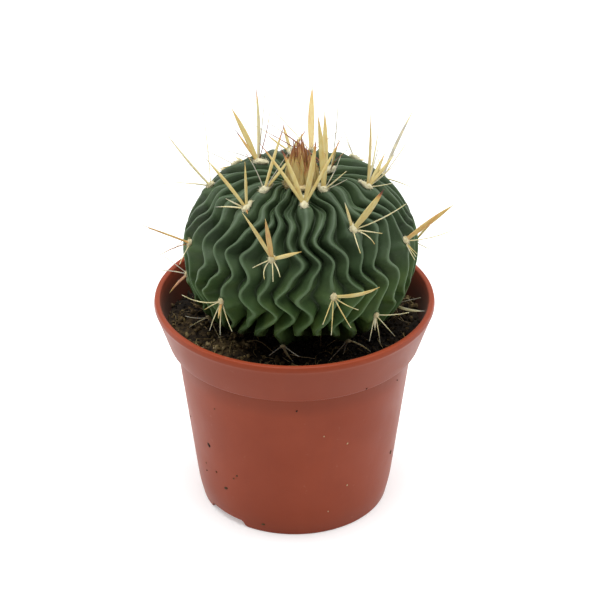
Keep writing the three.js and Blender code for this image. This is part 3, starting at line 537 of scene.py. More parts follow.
class Nodes:
    """A short way to write a material's node tree."""

    def __init__(self, name):
        self.material = bpy.data.materials.new(name)
        self.material.use_nodes = True
        self.tree = self.material.node_tree
        self.shader = self.tree.nodes["Principled BSDF"]

    def link(self, value, socket):
        if isinstance(value, bpy.types.NodeSocket):
            self.tree.links.new(value, socket)
        elif isinstance(value, tuple) and len(value) == 3 and socket.type == "RGBA":
            socket.default_value = (*value, 1)
        else:
            socket.default_value = value

    def node(self, kind, inputs=(), **settings):
        node = self.tree.nodes.new(kind)
        for key, value in settings.items():
            setattr(node, key, value)
        for key, value in dict(inputs).items():
            self.link(value, node.inputs[key])
        return node

    def number(self, name):
        return self.node("ShaderNodeAttribute", attribute_name=name).outputs["Fac"]

    def place(self):
        return self.node("ShaderNodeTexCoord").outputs["Object"]

    def noise(self, scale, vector=None, detail=3.0):
        place = vector or self.place()
        inputs = {"Scale": scale, "Detail": detail, "Roughness": NOISE_ROUGHNESS, "Vector": place}
        return self.node("ShaderNodeTexNoise", inputs).outputs["Fac"]

    def stretched(self, vector, scale):
        return self.node("ShaderNodeMapping", {"Vector": vector, "Scale": scale}).outputs["Vector"]

    def math(self, operation, a, b=0.0, clamp=False):
        return self.node("ShaderNodeMath", {0: a, 1: b}, operation=operation, use_clamp=clamp).outputs[0]

    def band(self, value, low, high, low_out=0.0, high_out=1.0):
        inputs = {"Value": value, "From Min": low, "From Max": high, "To Min": low_out, "To Max": high_out}
        return self.node("ShaderNodeMapRange", inputs, interpolation_type="SMOOTHSTEP").outputs["Result"]

    def mix(self, share, a, b):
        """Two colours mixed. The node's inputs 0, 6 and 7 and its output 2 are those for colours."""
        node = self.node("ShaderNodeMix", data_type="RGBA")
        for value, index in ((share, 0), (a, 6), (b, 7)):
            self.link(value, node.inputs[index])
        return node.outputs[2]

    def ramp(self, share, stops):
        node = self.node("ShaderNodeValToRGB", {"Fac": share})
        marks = node.color_ramp.elements
        while len(marks) < len(stops):
            marks.new(0.5)
        for mark, (position, colour) in zip(marks, stops):
            mark.position = position
            mark.color = (*colour, 1)
        return node.outputs["Color"]

    def bump(self, height, strength, distance, normal=None):
        inputs = {"Height": height, "Strength": strength, "Distance": distance * MM}
        if normal is not None:
            inputs["Normal"] = normal
        return self.node("ShaderNodeBump", inputs).outputs["Normal"]

    def finish(self, **inputs):
        for key, value in inputs.items():
            self.link(value, self.shader.inputs[key.replace("_", " ")])
        return self.material


def pot_material():
    n = Nodes("pot_plastic")
    cloud = n.noise(38, detail=4)
    streak = n.noise(1.0, n.stretched(n.place(), (160, 160, 22)))
    dust = n.noise(420, detail=2)
    colour = n.mix(n.band(cloud, 0.35, 0.7), (0.221, 0.0372, 0.0128), (0.246, 0.0438, 0.0160))
    colour = n.mix(n.band(streak, 0.45, 0.75, 0, 0.22), colour, (0.20, 0.036, 0.015))
    colour = n.mix(n.band(dust, 0.68, 0.82, 0, 0.15), colour, (0.42, 0.2, 0.13))
    # Painted shade: inside the pot, under the ledge and on the collar, the colour darkens towards this dark
    # brown
    colour = n.mix(n.math("MULTIPLY", n.number("stain"), n.band(cloud, 0.2, 0.8, 0.75, 1.0)), colour,
                   (0.036, 0.0105, 0.005))
    grain = n.bump(n.noise(900, detail=2), 0.22, 0.05)
    rough = n.band(n.noise(60), 0.3, 0.7, 0.36, 0.46)
    return n.finish(Base_Color=colour, Roughness=rough, Normal=n.bump(streak, 0.2, 0.15, grain),
                    Specular_IOR_Level=0.14, Sheen_Weight=0.06, Sheen_Roughness=0.4,
                    Sheen_Tint=(1.0, 0.82, 0.7))


def soil_material():
    n = Nodes("peat")
    spread = n.band(n.noise(700, detail=4), 0.25, 0.75, -0.16, 0.16)
    colour = n.ramp(n.math("ADD", n.number("tone"), spread, clamp=True), (
        (0.0, (0.006, 0.0042, 0.003)), (0.28, (0.020, 0.013, 0.007)), (0.5, (0.085, 0.056, 0.024)),
        (0.72, (0.19, 0.14, 0.055)), (1.0, (0.46, 0.36, 0.21)),
    ))
    bump = n.bump(n.noise(900, detail=4), 0.9, 0.35)
    return n.finish(Base_Color=colour, Roughness=0.93, Normal=bump, Specular_IOR_Level=0.22)


def flesh_material():
    n = Nodes("cactus_flesh")
    crest, rise = n.number("crest"), n.number("rise")
    patch = n.noise(95)
    fleck = n.noise(1500, detail=2)
    low = n.mix(n.band(patch, 0.42, 0.66), (0.040, 0.080, 0.020), (0.066, 0.108, 0.024))
    high = n.mix(n.band(patch, 0.35, 0.7), (0.031, 0.053, 0.023), (0.042, 0.068, 0.029))
    flank = n.mix(n.band(rise, -0.45, 0.5), low, high)
    # Painted shade: the flanks darken towards the grooves, where shade falls
    deep = n.mix(n.band(crest, 0.0, 0.42), (0.026, 0.046, 0.017), flank)
    # A paler line along the crests: partly the ribs' own paler edges, partly a painted highlight
    edge = n.mix(n.band(rise, -0.2, 0.7), (0.088, 0.142, 0.066), (0.090, 0.128, 0.076))
    line = n.band(n.math("ADD", crest, n.band(patch, 0.3, 0.7, -0.03, 0.03)), 0.74, 1.0, 0, 0.64)
    colour = n.mix(line, deep, edge)
    colour = n.mix(n.band(fleck, 0.6, 0.78, 0, 0.22), colour, (0.115, 0.165, 0.09))
    skin = n.bump(n.noise(1300), 0.35, 0.09)
    skin = n.bump(n.noise(160), 0.25, 0.5, skin)
    rough = n.band(n.noise(210, detail=2), 0.3, 0.7, 0.5, 0.64)
    return n.finish(Base_Color=colour, Roughness=rough, Normal=skin, Specular_IOR_Level=0.2,
                    Subsurface_Weight=0.06, Subsurface_Scale=0.0015, Subsurface_Radius=(0.5, 1.0, 0.4))


def spine_material():
    n = Nodes("spine_horn")
    across, seed, along = (n.number(name) for name in ("side", "seed", "along"))
    place = n.node("ShaderNodeCombineXYZ", {"X": across, "Y": seed, "Z": along}).outputs[0]
    streak = n.noise(1.0, n.stretched(place, (5.0, 1.0, 0.5)))
    blotch = n.noise(1.0, n.stretched(place, (0.8, 1.0, 0.35)), detail=2)
    tone = n.math("ADD", n.number("tone"), n.band(streak, 0.25, 0.75, -0.07, 0.07))
    tone = n.math("ADD", tone, n.band(blotch, 0.32, 0.75, -0.05, 0.12), clamp=True)
    colour = n.ramp(tone, (
        (GREY, (0.33, 0.31, 0.25)), (CREAM, (0.53, 0.48, 0.28)), (STRAW, (0.465, 0.385, 0.145)),
        (GOLD, (0.44, 0.29, 0.085)), (ORANGE, (0.40, 0.185, 0.06)), (RUSSET, (0.19, 0.052, 0.025)),
        (DARK, (0.05, 0.016, 0.012)),
    ))
    ridges = n.bump(streak, 0.5, 0.12)
    return n.finish(Base_Color=colour, Roughness=0.45, Normal=ridges, Specular_IOR_Level=0.45,
                    Subsurface_Weight=0.15, Subsurface_Scale=0.0012, Subsurface_Radius=(1.0, 0.7, 0.35))


def wool_material():
    n = Nodes("areole_wool")
    spread = n.band(n.noise(1600), 0.3, 0.7, -0.12, 0.12)
    colour = n.ramp(n.math("ADD", n.number("tone"), spread, clamp=True), (
        (0.0, (0.57, 0.55, 0.40)), (0.35, (0.52, 0.47, 0.28)), (0.7, (0.47, 0.35, 0.16)),
        (1.0, (0.33, 0.22, 0.11)),
    ))
    return n.finish(Base_Color=colour, Roughness=0.9, Normal=n.bump(n.noise(2600), 0.7, 0.15),
                    Specular_IOR_Level=0.2, Sheen_Weight=0.3, Sheen_Roughness=0.5)


# ---- Pot pieces ----

def pot_outline():
    """The pot's section as (radius, height, rounding), from the middle of the underside to the inside."""
    inner = RIM_RADIUS - LIP_WIDTH
    return [
        (0, 0, 0), (FLOOR_MIDDLE_RADIUS, 0, 0.4), (FLOOR_MIDDLE_RADIUS + 1.2, FLOOR_LIFT, 0.4),
        (FOOT_RADIUS - 1.9, FLOOR_LIFT, 0.3), (FOOT_RADIUS - 1.3, 0, 0.3), (FOOT_RADIUS, 0, 0.45),
        (BODY_FOOT_RADIUS, BODY_FOOT_HEIGHT, 3.0), (LEDGE_RADIUS, COLLAR_BOTTOM, 0.35),
        (COLLAR_RADIUS, COLLAR_BOTTOM, 0.5), (RIM_RADIUS - 0.35, POT_HEIGHT - 2.2, 0.8),
        (RIM_RADIUS, POT_HEIGHT - 1.5, 0.4), (RIM_RADIUS - 0.3, POT_HEIGHT, 0.55), (inner, POT_HEIGHT, 0.5),
        (inner - 0.3, POT_HEIGHT - 1.4, 0.6), (COLLAR_RADIUS - WALL, COLLAR_BOTTOM + WALL, 0.6),
        (LEDGE_RADIUS - WALL, COLLAR_BOTTOM - WALL, 0.6), (BODY_FOOT_RADIUS - WALL, FLOOR_LIFT + WALL, 1.0),
        (FLOOR_MIDDLE_RADIUS + 0.4, FLOOR_LIFT + WALL, 0.4), (FLOOR_MIDDLE_RADIUS - 0.8, WALL, 0.4),
        (0, WALL, 0),
    ]


def rounded(outline):
    """An outline with each corner rounded by a curve that leaves it at the corner's own distance."""
    corners = [np.array(point[:2], float) for point in outline]
    line = [corners[0]]
    for index in range(1, len(corners) - 1):
        corner, cut = corners[index], outline[index][2]
        back, ahead = corners[index - 1] - corner, corners[index + 1] - corner
        start = corner + unit(back) * min(cut, np.linalg.norm(back) * 0.48)
        end = corner + unit(ahead) * min(cut, np.linalg.norm(ahead) * 0.48)
        for t in np.linspace(0, 1, CORNER_STEPS):
            line.append(start * (1 - t) ** 2 + corner * 2 * t * (1 - t) + end * t * t)
    return line + [corners[-1]]


def with_steps(line):
    """Adds points to the long stretches of a line."""
    made = [line[0]]
    for start, end in zip(line, line[1:]):
        length = np.linalg.norm(end - start)
        if length > LONG_STRETCH:
            inner = max(int(length / RING_GAP), 1)
            edge = EDGE_GAP / length
            shares = [edge, *((step + 1) / (inner + 1) for step in range(inner)), 1 - edge]
            made += [start + (end - start) * share for share in shares]
        made.append(end)
    return made


def pot_stain(height):
    """How much painted shade each ring of the pot gets, from the underside up the outside and down the
    inside.
    """
    inner = np.arange(len(height)) > np.argmax(height > POT_HEIGHT - 0.01)
    below = COLLAR_BOTTOM - height
    # Painted shade inside, painted shadow under the ledge, and painted shade on the collar
    inside = INSIDE_SHADE * inner * (1 - smooth(height, POT_HEIGHT - 3.2, POT_HEIGHT - 1.2))
    ledge = LEDGE_SHADOW * ~inner * (below > -0.01) * (1 - smooth(below, 3.0, 6.0))
    collar = COLLAR_SHADE * ~inner * (below < 0) * (1 - smooth(height, POT_HEIGHT - 3, POT_HEIGHT - 1))
    return inside + ledge + collar


def notch_height(azimuth):
    """How far the foot's edge is raised, by azimuth."""
    raised = np.zeros(len(azimuth))
    for notch in NOTCH_AZIMUTHS:
        away = np.abs(wrap(azimuth - notch)) - NOTCH_SPREAD / 2
        raised = np.maximum(raised, NOTCH_HEIGHT * (1 - smooth(away, *NOTCH_ENDS)))
    return raised


def pot_shape():
    line = np.array(with_steps(rounded(pot_outline())))
    azimuth = around(POT_SIDES)
    radius, height = line[1:-1, :1], line[1:-1, 1:]
    raised = notch_height(azimuth)
    start, full = FOOT_INSIDE
    under = smooth(radius, FOOT_RADIUS - start, FOOT_RADIUS - full) * (1 - smooth(height, *NOTCH_TOP))
    heights = np.where(under > 0, np.maximum(height, raised * under + (height - raised) * 0.03), height)
    outside = radius > FOOT_RADIUS - 0.2
    spread = (BODY_FOOT_RADIUS - FOOT_RADIUS) / BODY_FOOT_HEIGHT
    radii = radius + np.where(outside, (heights - height) * spread, 0)
    # Each ring's painted shade, with the middle of the inside floor fully shaded
    stain = np.concatenate([np.repeat(pot_stain(height.ravel()), POT_SIDES), [0, INSIDE_SHADE]])
    ends = np.array([[0, 0, line[0][1]], [0, 0, line[-1][1]]])
    shape = Shape()
    shape.add(*closed_grid(round_points(radii, azimuth, heights), ends), stain=stain)
    return shape


def cut_drain_holes(pot):
    for index in range(DRAIN_HOLES):
        angle = math.radians((index + 0.5) * 360 / DRAIN_HOLES)
        place = (DRAIN_CIRCLE * math.cos(angle) * MM, DRAIN_CIRCLE * math.sin(angle) * MM, FLOOR_LIFT * MM)
        bpy.ops.mesh.primitive_cylinder_add(
            vertices=DRAIN_SIDES, radius=DRAIN_RADIUS * MM, depth=DRAIN_DEPTH * MM, location=place)
        cutter = bpy.context.object
        hole = pot.modifiers.new("hole", "BOOLEAN")
        hole.operation, hole.solver, hole.object = "DIFFERENCE", "EXACT", cutter
        bpy.context.view_layer.objects.active = pot
        bpy.ops.object.modifier_apply(modifier="hole")
        bpy.data.objects.remove(cutter)


def pot_radius(height):
    """Outside radius of the pot at a height. The ledge stands where one height has two radii."""
    heights = [0, BODY_FOOT_HEIGHT, COLLAR_BOTTOM, COLLAR_BOTTOM, POT_HEIGHT]
    radii = [FOOT_RADIUS, BODY_FOOT_RADIUS, LEDGE_RADIUS, COLLAR_RADIUS, RIM_RADIUS]
    return np.interp(height, heights, radii)


def twelve_corners():
    """The corners of a solid with twenty equal faces and edges 2 long."""
    golden = (1 + 5 ** 0.5) / 2
    corners = [(a, b * golden, 0.0) for a in (-1, 1) for b in (-1, 1)]
    return np.array([np.roll(corner, turn) for turn in range(3) for corner in corners])


def lump(random, roughness=0.25):
    """A small rough pebble of radius 1."""
    return unit(twelve_corners()) * (1 + roughness * (random.random((12, 1)) - 0.5) * 2)


def lump_faces():
    """The faces of lump(), found once from a regular one."""
    points = twelve_corners()
    faces = []
    for a in range(12):
        for b in range(a + 1, 12):
            for c in range(b + 1, 12):
                near = [np.linalg.norm(points[i] - points[j]) for i, j in ((a, b), (b, c), (a, c))]
                if max(near) < 2.1:
                    outward = np.dot(np.cross(points[b] - points[a], points[c] - points[a]), points[a]) > 0
                    faces.append((a, b, c) if outward else (a, c, b))
    return np.array(faces)


def pot_specks():
    random = np.random.default_rng(SPECK_SEED)
    faces = lump_faces()
    shape = Shape()
    for azimuth, height, length, turn, tone in POT_SPECKS:
        out = round_points(1, azimuth, 0)
        right = np.array([cos(azimuth), sin(azimuth), 0])
        long = right * sin(turn) + np.array([0, 0, 1]) * cos(turn)
        wide = np.cross(long, out)
        centre = out * pot_radius(height) + np.array([0, 0, height])
        sizes = np.array([length * 0.8, length * 0.5, 0.2])
        local = lump(random) * sizes
        points = centre + local[:, :1] * long + local[:, 1:2] * wide + local[:, 2:] * out
        shape.add(points, faces, tone=tone)
    return shape


# ---- Soil pieces ----

def soil_radius(height):
    """The pot's inside radius at a height, less a little."""
    heights = (FLOOR_LIFT + WALL, COLLAR_BOTTOM - WALL, COLLAR_BOTTOM + WALL, POT_HEIGHT - 1.4)
    radii = (BODY_FOOT_RADIUS - WALL, LEDGE_RADIUS - WALL, COLLAR_RADIUS - WALL, RIM_RADIUS - LIP_WIDTH - 0.3)
    return np.interp(height, heights, radii) - SOIL_GAP


def soil_height(x, y):
    height = SOIL_LEVEL + 0.5 * np.sin(x * 0.21 + 1.3) * np.cos(y * 0.17 - 0.4)
    height = height + 0.3 * np.sin(x * 0.53 - y * 0.47)
    for mound_x, mound_y, spread, rise in SOIL_MOUNDS:
        height = height + rise * bell(np.hypot(x - mound_x, y - mound_y) / spread)
    return height


def soil_grit(x, y):
    grit = 0
    for fineness, height, shift in GRIT_WAVES:
        wave = np.sin(x * fineness + shift + 1.7 * np.sin(y * fineness * 0.7))
        grit = grit + height * wave * np.sin(y * fineness - shift)
    return grit


def mossy(x, y):
    """How much a place lies on one of the paler clumps."""
    share = 0
    for clump_x, clump_y, spread, paleness in PALE_CLUMPS:
        share = share + paleness * bell(np.hypot(x - clump_x, y - clump_y) / spread)
    return np.clip(share, 0, 1.3)


def soil_side():
    """The soil's section as (radius, height), from the floor's raised ring up to the collar."""
    floor = FLOOR_LIFT + WALL + SOIL_GAP
    return np.array([
        (FLOOR_MIDDLE_RADIUS - 1.4, WALL + SOIL_GAP),
        (FLOOR_MIDDLE_RADIUS - 0.2, floor),
        (soil_radius(floor), floor),
        (soil_radius(COLLAR_BOTTOM - WALL), COLLAR_BOTTOM - WALL + 0.3),
        (soil_radius(COLLAR_BOTTOM + WALL + 1) - 0.3, COLLAR_BOTTOM + WALL + 1),
    ])


def soil_shape():
    azimuth = around(SOIL_SIDES)
    side = soil_side()
    edge = np.full(SOIL_SIDES, soil_radius(SOIL_LEVEL))
    for _ in range(4):
        edge = soil_radius(soil_height(edge * sin(azimuth), -edge * cos(azimuth)))
    top = 1.0 + (edge - 1.0) * np.linspace(1, 0, SOIL_RINGS)[:, None]
    x, y = top * sin(azimuth), -top * cos(azimuth)
    z = soil_height(x, y) + GRIT_HEIGHT * soil_grit(x, y) * smooth(edge - top, 0, 1)
    points = np.concatenate([round_points(side[:, :1], azimuth, side[:, 1:]), np.stack([x, y, z], axis=-1)])
    ends = np.array([[0, 0, WALL + SOIL_GAP], [0, 0, soil_height(0, 0)]])
    tone = PEAT_TONE + MOSSY_TONE * mossy(x, y)
    tones = np.concatenate([np.full(len(side) * SOIL_SIDES, PEAT_TONE), tone.ravel(), [PEAT_TONE] * 2])
    shape = Shape()
    shape.add(*closed_grid(points, ends), tone=tones)
    return shape


def soil_places(random, count, narrowest, widest):
    """Places spread evenly over the soil's ring, as x, y and height."""
    radius = np.sqrt(random.uniform(narrowest ** 2, widest ** 2, count))
    turn = random.uniform(0, 360, count)
    x, y = radius * sin(turn), -radius * cos(turn)
    return x, y, soil_height(x, y)


def crumb_shape():
    random = np.random.default_rng(CRUMB_SEED)
    faces = lump_faces()
    shape = Shape()
    x, y, z = soil_places(random, CRUMBS, *CRUMB_REACH)
    sizes = CRUMB_SIZE[0] + CRUMB_SIZE[1] * random.random(CRUMBS) ** 3.2
    pale = mossy(x, y)
    for index in range(CRUMBS):
        stretch = sizes[index] * random.uniform(0.6, 1.25, 3)
        turn = np.linalg.qr(random.normal(size=(3, 3)))[0]
        turn *= np.sign(np.linalg.det(turn))
        points = (lump(random, 0.35) * stretch) @ turn
        lift = z[index] + sizes[index] * random.uniform(-0.1, 0.6)
        tone = np.clip(random.normal(0.19 + 0.4 * pale[index], 0.16), 0, 0.95)
        shape.add(points + (x[index], y[index], lift), faces, tone=tone)
    return shape


def fibre_shape():
    random = np.random.default_rng(FIBRE_SEED)
    x, y, _ = soil_places(random, FIBRES, *FIBRE_REACH)
    length = random.uniform(2.5, 9.5, FIBRES)
    turn = random.uniform(0, 360, FIBRES)
    curl = random.normal(0, 55, FIBRES)
    rise = random.uniform(-0.05, 0.3, FIBRES)
    along = np.linspace(0, 1, FIBRE_STEPS)
    heading = turn[:, None] + curl[:, None] * along
    step = (length / FIBRE_STEPS)[:, None]
    path_x = x[:, None] + np.cumsum(step * sin(heading), axis=1)
    path_y = y[:, None] + np.cumsum(step * cos(heading), axis=1)
    inside = np.minimum(1, FIBRE_EDGE / np.hypot(path_x, path_y))
    path_x, path_y = path_x * inside, path_y * inside
    bow = 4 * along * (1 - along) * rise[:, None] * length[:, None] * 0.5
    path_z = soil_height(path_x, path_y) + 0.35 + bow + 0.2 * soil_grit(path_x, path_y)
    width = random.uniform(0.06, 0.2, FIBRES)
    radii = width[:, None] * (0.35 + 0.65 * np.sin(math.pi * (0.12 + 0.8 * along)))
    tone = np.clip(random.normal(0.62, 0.2, FIBRES), 0.2, 1)
    shape = Shape()
    shape.add(*tubes(np.stack([path_x, path_y, path_z], axis=-1), radii, FIBRE_SIDES),
              tone=np.repeat(tone, FIBRE_STEPS * FIBRE_SIDES))
    return shape


# ---- Plant's surface ----

def resting_rib(azimuth):
    return RIB_PHASE + math.floor((azimuth - RIB_PHASE) / RIB_STEP + 0.5) * RIB_STEP


def rib_end(azimuth):
    """Latitude where the ribs end."""
    return SIDE_END + (FRONT_END - SIDE_END) * bell(wrap(azimuth) / FRONT_SPREAD)


def hooked(azimuth, latitude):
    """How far a rib's lower end curls aside."""
    turn = HOOK_TURN * bell(wrap(azimuth - HOOK_AZIMUTH) / HOOK_SPREAD)
    return -turn * smooth(rib_end(azimuth) + HOOK_START - latitude, 0, HOOK_BAND)


def bent_azimuth(azimuth, latitude, areoles):
    """Azimuth of a line on the plant after the areoles have bent it.

    Each areole pushes the ribs on both of its sides away, and pulls its own rib to itself.
    """
    bent = azimuth + 0.0 * latitude
    for areole in areoles:
        away = wrap(azimuth - areole["rib"])
        below = latitude - areole["latitude"] + PUSH_DROP
        push = PUSH * np.tanh(away / PUSH_ROOT) * bell(away / PUSH_REACH) * bell(below / PUSH_BAND)
        pull = areole["pull"] * bell(away / PULL_REACH) * bell((latitude - areole["latitude"]) / PULL_BAND)
        bent = bent + push + pull
    return bent + hooked(azimuth, latitude)


def spiral_place(number):
    """Azimuth and latitude of an areole."""
    turn, rise = SHIFTS.get(number, (0, 0))
    step = CROWN_LATITUDE_STEP if number < 0 else LATITUDE_STEP
    return wrap(FIRST_AZIMUTH - number * GOLDEN_ANGLE + turn), FIRST_LATITUDE - number * step + rise


def areole_places():
    """Every areole, with a pull that is found by small corrections until its rib runs through it."""
    areoles = []
    for number in range(YOUNGEST, OLDEST + 1):
        azimuth, latitude = spiral_place(number)
        rib = resting_rib(azimuth)
        areoles.append({"number": number, "azimuth": azimuth, "latitude": latitude, "rib": rib, "pull": 0.0})
    for _ in range(PULL_ROUNDS):
        for areole in areoles:
            reached = bent_azimuth(areole["rib"], areole["latitude"], areoles)
            areole["pull"] += PULL_STEP * wrap(areole["azimuth"] - reached)
    return areoles


def tuck(azimuth, latitude):
    """How far the plant has drawn in under itself, except where a rib hangs down to a low areole."""
    drawn = TUCK * smooth(rib_end(azimuth) - latitude, 0, TUCK_BAND)
    for number in KNOBS:
        knob_azimuth, knob_latitude = spiral_place(number)
        held = bell(wrap(azimuth - knob_azimuth) / KNOB_WIDTH)
        drawn = drawn * (1 - held * smooth(latitude, knob_latitude - KNOB_BAND, knob_latitude))
    return drawn


def plant_point(azimuth, latitude, depth=0.0):
    """A place on the plant's smooth form, or this deep under it."""
    across = (PLANT_RADIUS - depth - tuck(azimuth, latitude)) * cos(latitude)
    for middle, spread, height, band, size in SWELLINGS:
        near = bell(wrap(azimuth - middle) / spread) if spread else 1
        across = across + size * near * bell((latitude - height) / band)
    dip = np.where(latitude > 0, CROWN_DIP * bell(across / CROWN_SPREAD), 0)
    height = PLANT_CENTRE + (PLANT_HALF_HEIGHT - depth) * sin(latitude) - dip
    return round_points(across, azimuth, height) + (PLANT_OFFSET, 0, 0)


def plant_frame(azimuth, latitude):
    """Directions at a place on the plant: towards the crown, across to the right, and straight out."""
    up = unit(plant_point(azimuth, latitude + 0.2) - plant_point(azimuth, latitude - 0.2))
    right = unit(plant_point(azimuth + 0.2, latitude) - plant_point(azimuth - 0.2, latitude))
    out = unit(np.cross(right, up))
    return {"up": up, "right": right, "out": out, "point": plant_point(azimuth, latitude)}


def rib_pitch(latitude):
    """Width from groove to groove."""
    return math.radians(RIB_STEP) * PLANT_RADIUS * cos(latitude)


def groove_depth(azimuth, latitude):
    depth = np.minimum(RIB_DEPTH, DEPTH_SHARE * rib_pitch(latitude))
    depth = depth * smooth(latitude, LOWEST_RIB, LOWEST_RIB + NECK_FADE)
    foot = smooth(rib_end(azimuth) + FOOT_GROOVES_BAND - latitude, 0, FOOT_GROOVES_BAND)
    return depth + FOOT_GROOVES * foot


def rib_relief(rib, resting, share, latitude, areoles):
    """How deep each point of the ribs lies under the plant's smooth form."""
    swell, chin, near, borne = 0.0, 0.0, 0.0, 0.0
    for areole in areoles:
        away = wrap(resting - areole["rib"])
        own = bell(away / PAD_REACH)
        above = latitude - areole["latitude"]
        swell = swell + own * hump(above, *PAD_SWELL)
        chin = chin + own * (hump(above, *PAD_CHIN) - hump(above, *PAD_BROW))
        near = near + bell(away / PAD_CALM[0]) * bell(above / PAD_CALM[1])
        borne = borne + own * (areole["latitude"] > CROWN_SINK_LATITUDES[0])
    sunken = rib % 2 * np.clip(1 - 1.5 * borne, 0, 1) * smooth(latitude, *CROWN_SINK_LATITUDES)
    groove = groove_depth(resting, latitude)
    depth = section_depth(resting, share, latitude, swell, sunken, groove)
    rise = CROWN_RISE * draw(rib + RISE_SEED) * hump(latitude, 1, CROWN_RISE_LATITUDE, CROWN_RISE_BAND)
    rise = rise * np.clip(1 - near, 0, 1)
    crest = (1 - share) ** CREST_FADE
    return depth - (chin + rise * (1 - sunken)) * crest + CROWN_SINK * sunken * groove * crest


def section_depth(resting, share, latitude, swell, sunken, groove):
    """A rib's section: a rounded crest between two flanks that go down to the grooves."""
    pitch = rib_pitch(latitude)
    crown = CROWN_SWELL * smooth(latitude, *CROWN_SWELL_LATITUDES) * (1 - SUNKEN_CREST * sunken)
    foot = FOOT_SWELL * smooth(rib_end(resting) + FOOT_SWELL_BAND - latitude, 0, FOOT_SWELL_BAND)
    half_crest = np.minimum(CREST_WIDTH / 2 * (1 + swell) + crown + foot, WIDEST_CREST * pitch)
    offset = share * pitch / 2
    flank = np.clip((offset - half_crest * 0.8) / (pitch / 2 - half_crest * 0.8), 0, 1)
    rounding = np.clip(offset / half_crest, 0, 1)
    crest_drop = half_crest * 0.55 * (1 - np.sqrt(np.maximum(1 - rounding ** 2 * 0.96, 0)))
    return np.clip(crest_drop + (groove - half_crest * 0.45) * flank ** 0.92, 0, None)


def body_shape(areoles):
    """The ribbed body. Across each rib, columns run from groove to groove, closest together at the crest."""
    half = np.array(HALF_RIB)
    across = np.concatenate([-half[:0:-1], half, [1.0]])
    rib = np.repeat(np.arange(RIBS), len(across))
    across = np.tile(across, RIBS)
    resting = (RIB_PHASE + rib * RIB_STEP + across * RIB_STEP / 2)[None]
    share = np.abs(across)[None]
    latitude = np.linspace(LOWEST_RIB, HIGHEST_RIB, RIB_ROWS)[:, None]
    depth = rib_relief(rib, resting, share, latitude, areoles)
    points = plant_point(bent_azimuth(resting, latitude, areoles), latitude, depth)
    neck_turn = around(len(rib)) + RIB_PHASE - RIB_STEP / 2
    neck = round_points(NECK_RADIUS, neck_turn, NECK_BOTTOM) + (PLANT_OFFSET, 0, 0)
    ends = np.array([[PLANT_OFFSET, 0, NECK_BOTTOM], plant_point(0, 90)])
    flat = np.zeros(len(rib))
    crest = np.concatenate([flat, (1 - share + 0 * latitude).ravel(), [0, 0]])
    height = np.concatenate([flat - 1, (sin(latitude) + 0 * share).ravel(), [-1, 1]])
    shape = Shape()
    shape.add(*closed_grid(np.concatenate([neck[None], points]), ends), crest=crest, rise=height)
    return shape


# ---- Spines and wool ----

def along_place(place, up, right, out):
    """Steps of these lengths in a place's own three directions."""
    up, right, out = (np.asarray(length)[..., None] for length in (up, right, out))
    return up * place["up"] + right * place["right"] + out * place["out"]


def spine_directions(root, turn, lean):
    """A spine's own three directions: along it, across its width, and through its thickness."""
    side = root["up"] * cos(turn) + root["right"] * sin(turn)
    along = unit(root["out"] * cos(lean) + side * sin(lean))
    across = np.cross(along, root["out"])
    if np.linalg.norm(across) < 0.3:
        across = root["right"] - along * np.dot(along, root["right"])
    across = unit(across)
    return along, across, np.cross(along, across)


def add_spine(shape, kind, root, turn, lean, length, curve, tone, tip_tone, seed, tinted=(0.72, 0.97)):
    """One spine: flat across its width, ridged, slightly bowed and twisted, with a tip as fine as a hair."""
    width, thickness, sides, root_share = SPINE_KINDS[kind]
    along, across, face = spine_directions(root, turn, lean)
    wider, bent, twisted, rolled = (draw(seed + step) for step in SPINE_SEEDS)
    rows = max(int(length * ROWS_PER_MM), FEWEST_ROWS)
    s = np.concatenate([np.linspace(0, 1, rows)[:-1], [0.985, 1.0]])
    grow = root_share + (1 - root_share) * smooth(s, 0, WIDEST)
    grow = grow + ROOT_BULB * (1 - smooth(s * length, 0, BULB_LENGTH))
    taper = 1 - np.clip((s - WIDEST) / (1 - WIDEST), 0, 1) ** TAPER
    scale = np.where(s < WIDEST, grow, taper)
    half_wide = np.maximum(width / 2 * scale * (0.9 + WIDTH_SPREAD * wider), TIP_WIDTH / 2)
    half_thick = np.maximum(thickness / 2 * scale ** 0.8, TIP_WIDTH / 2)
    bow = length * (BOW * (bent - 0.35) * 4 * s * (1 - s))
    sway = curve * 4 * s * (1 - s)
    centre = root["point"] + along * (s * length)[:, None] - face * bow[:, None] + across * sway[:, None]
    twist = TWIST * (twisted - 0.5) * s + ROLL * (rolled - 0.5)
    flat = across * cos(twist)[:, None] + face * sin(twist)[:, None]
    normal = face * cos(twist)[:, None] - across * sin(twist)[:, None]
    angles = np.arange(sides) / sides * 2 * math.pi
    x = np.cos(angles)
    ridge = 1.0 if sides < 10 else 0.74 + 0.26 * np.cos(x * math.pi * 3)
    y = np.sin(angles) * ridge
    points = (centre[:, None] + flat[:, None] * (half_wide[:, None, None] * x[:, None])
              + normal[:, None] * (half_thick[:, None, None] * y[:, None]))
    tones = tone + (tip_tone - tone) * smooth(s, *tinted) + ROOT_TONE * (1 - smooth(s, 0, 0.14))
    shape.add(points, tube_faces(len(s), sides), tone=np.clip(np.repeat(tones, sides), 0, 1),
              along=np.repeat(s * length, sides), side=np.tile(x, len(s)) * width / 2, seed=seed % 97)


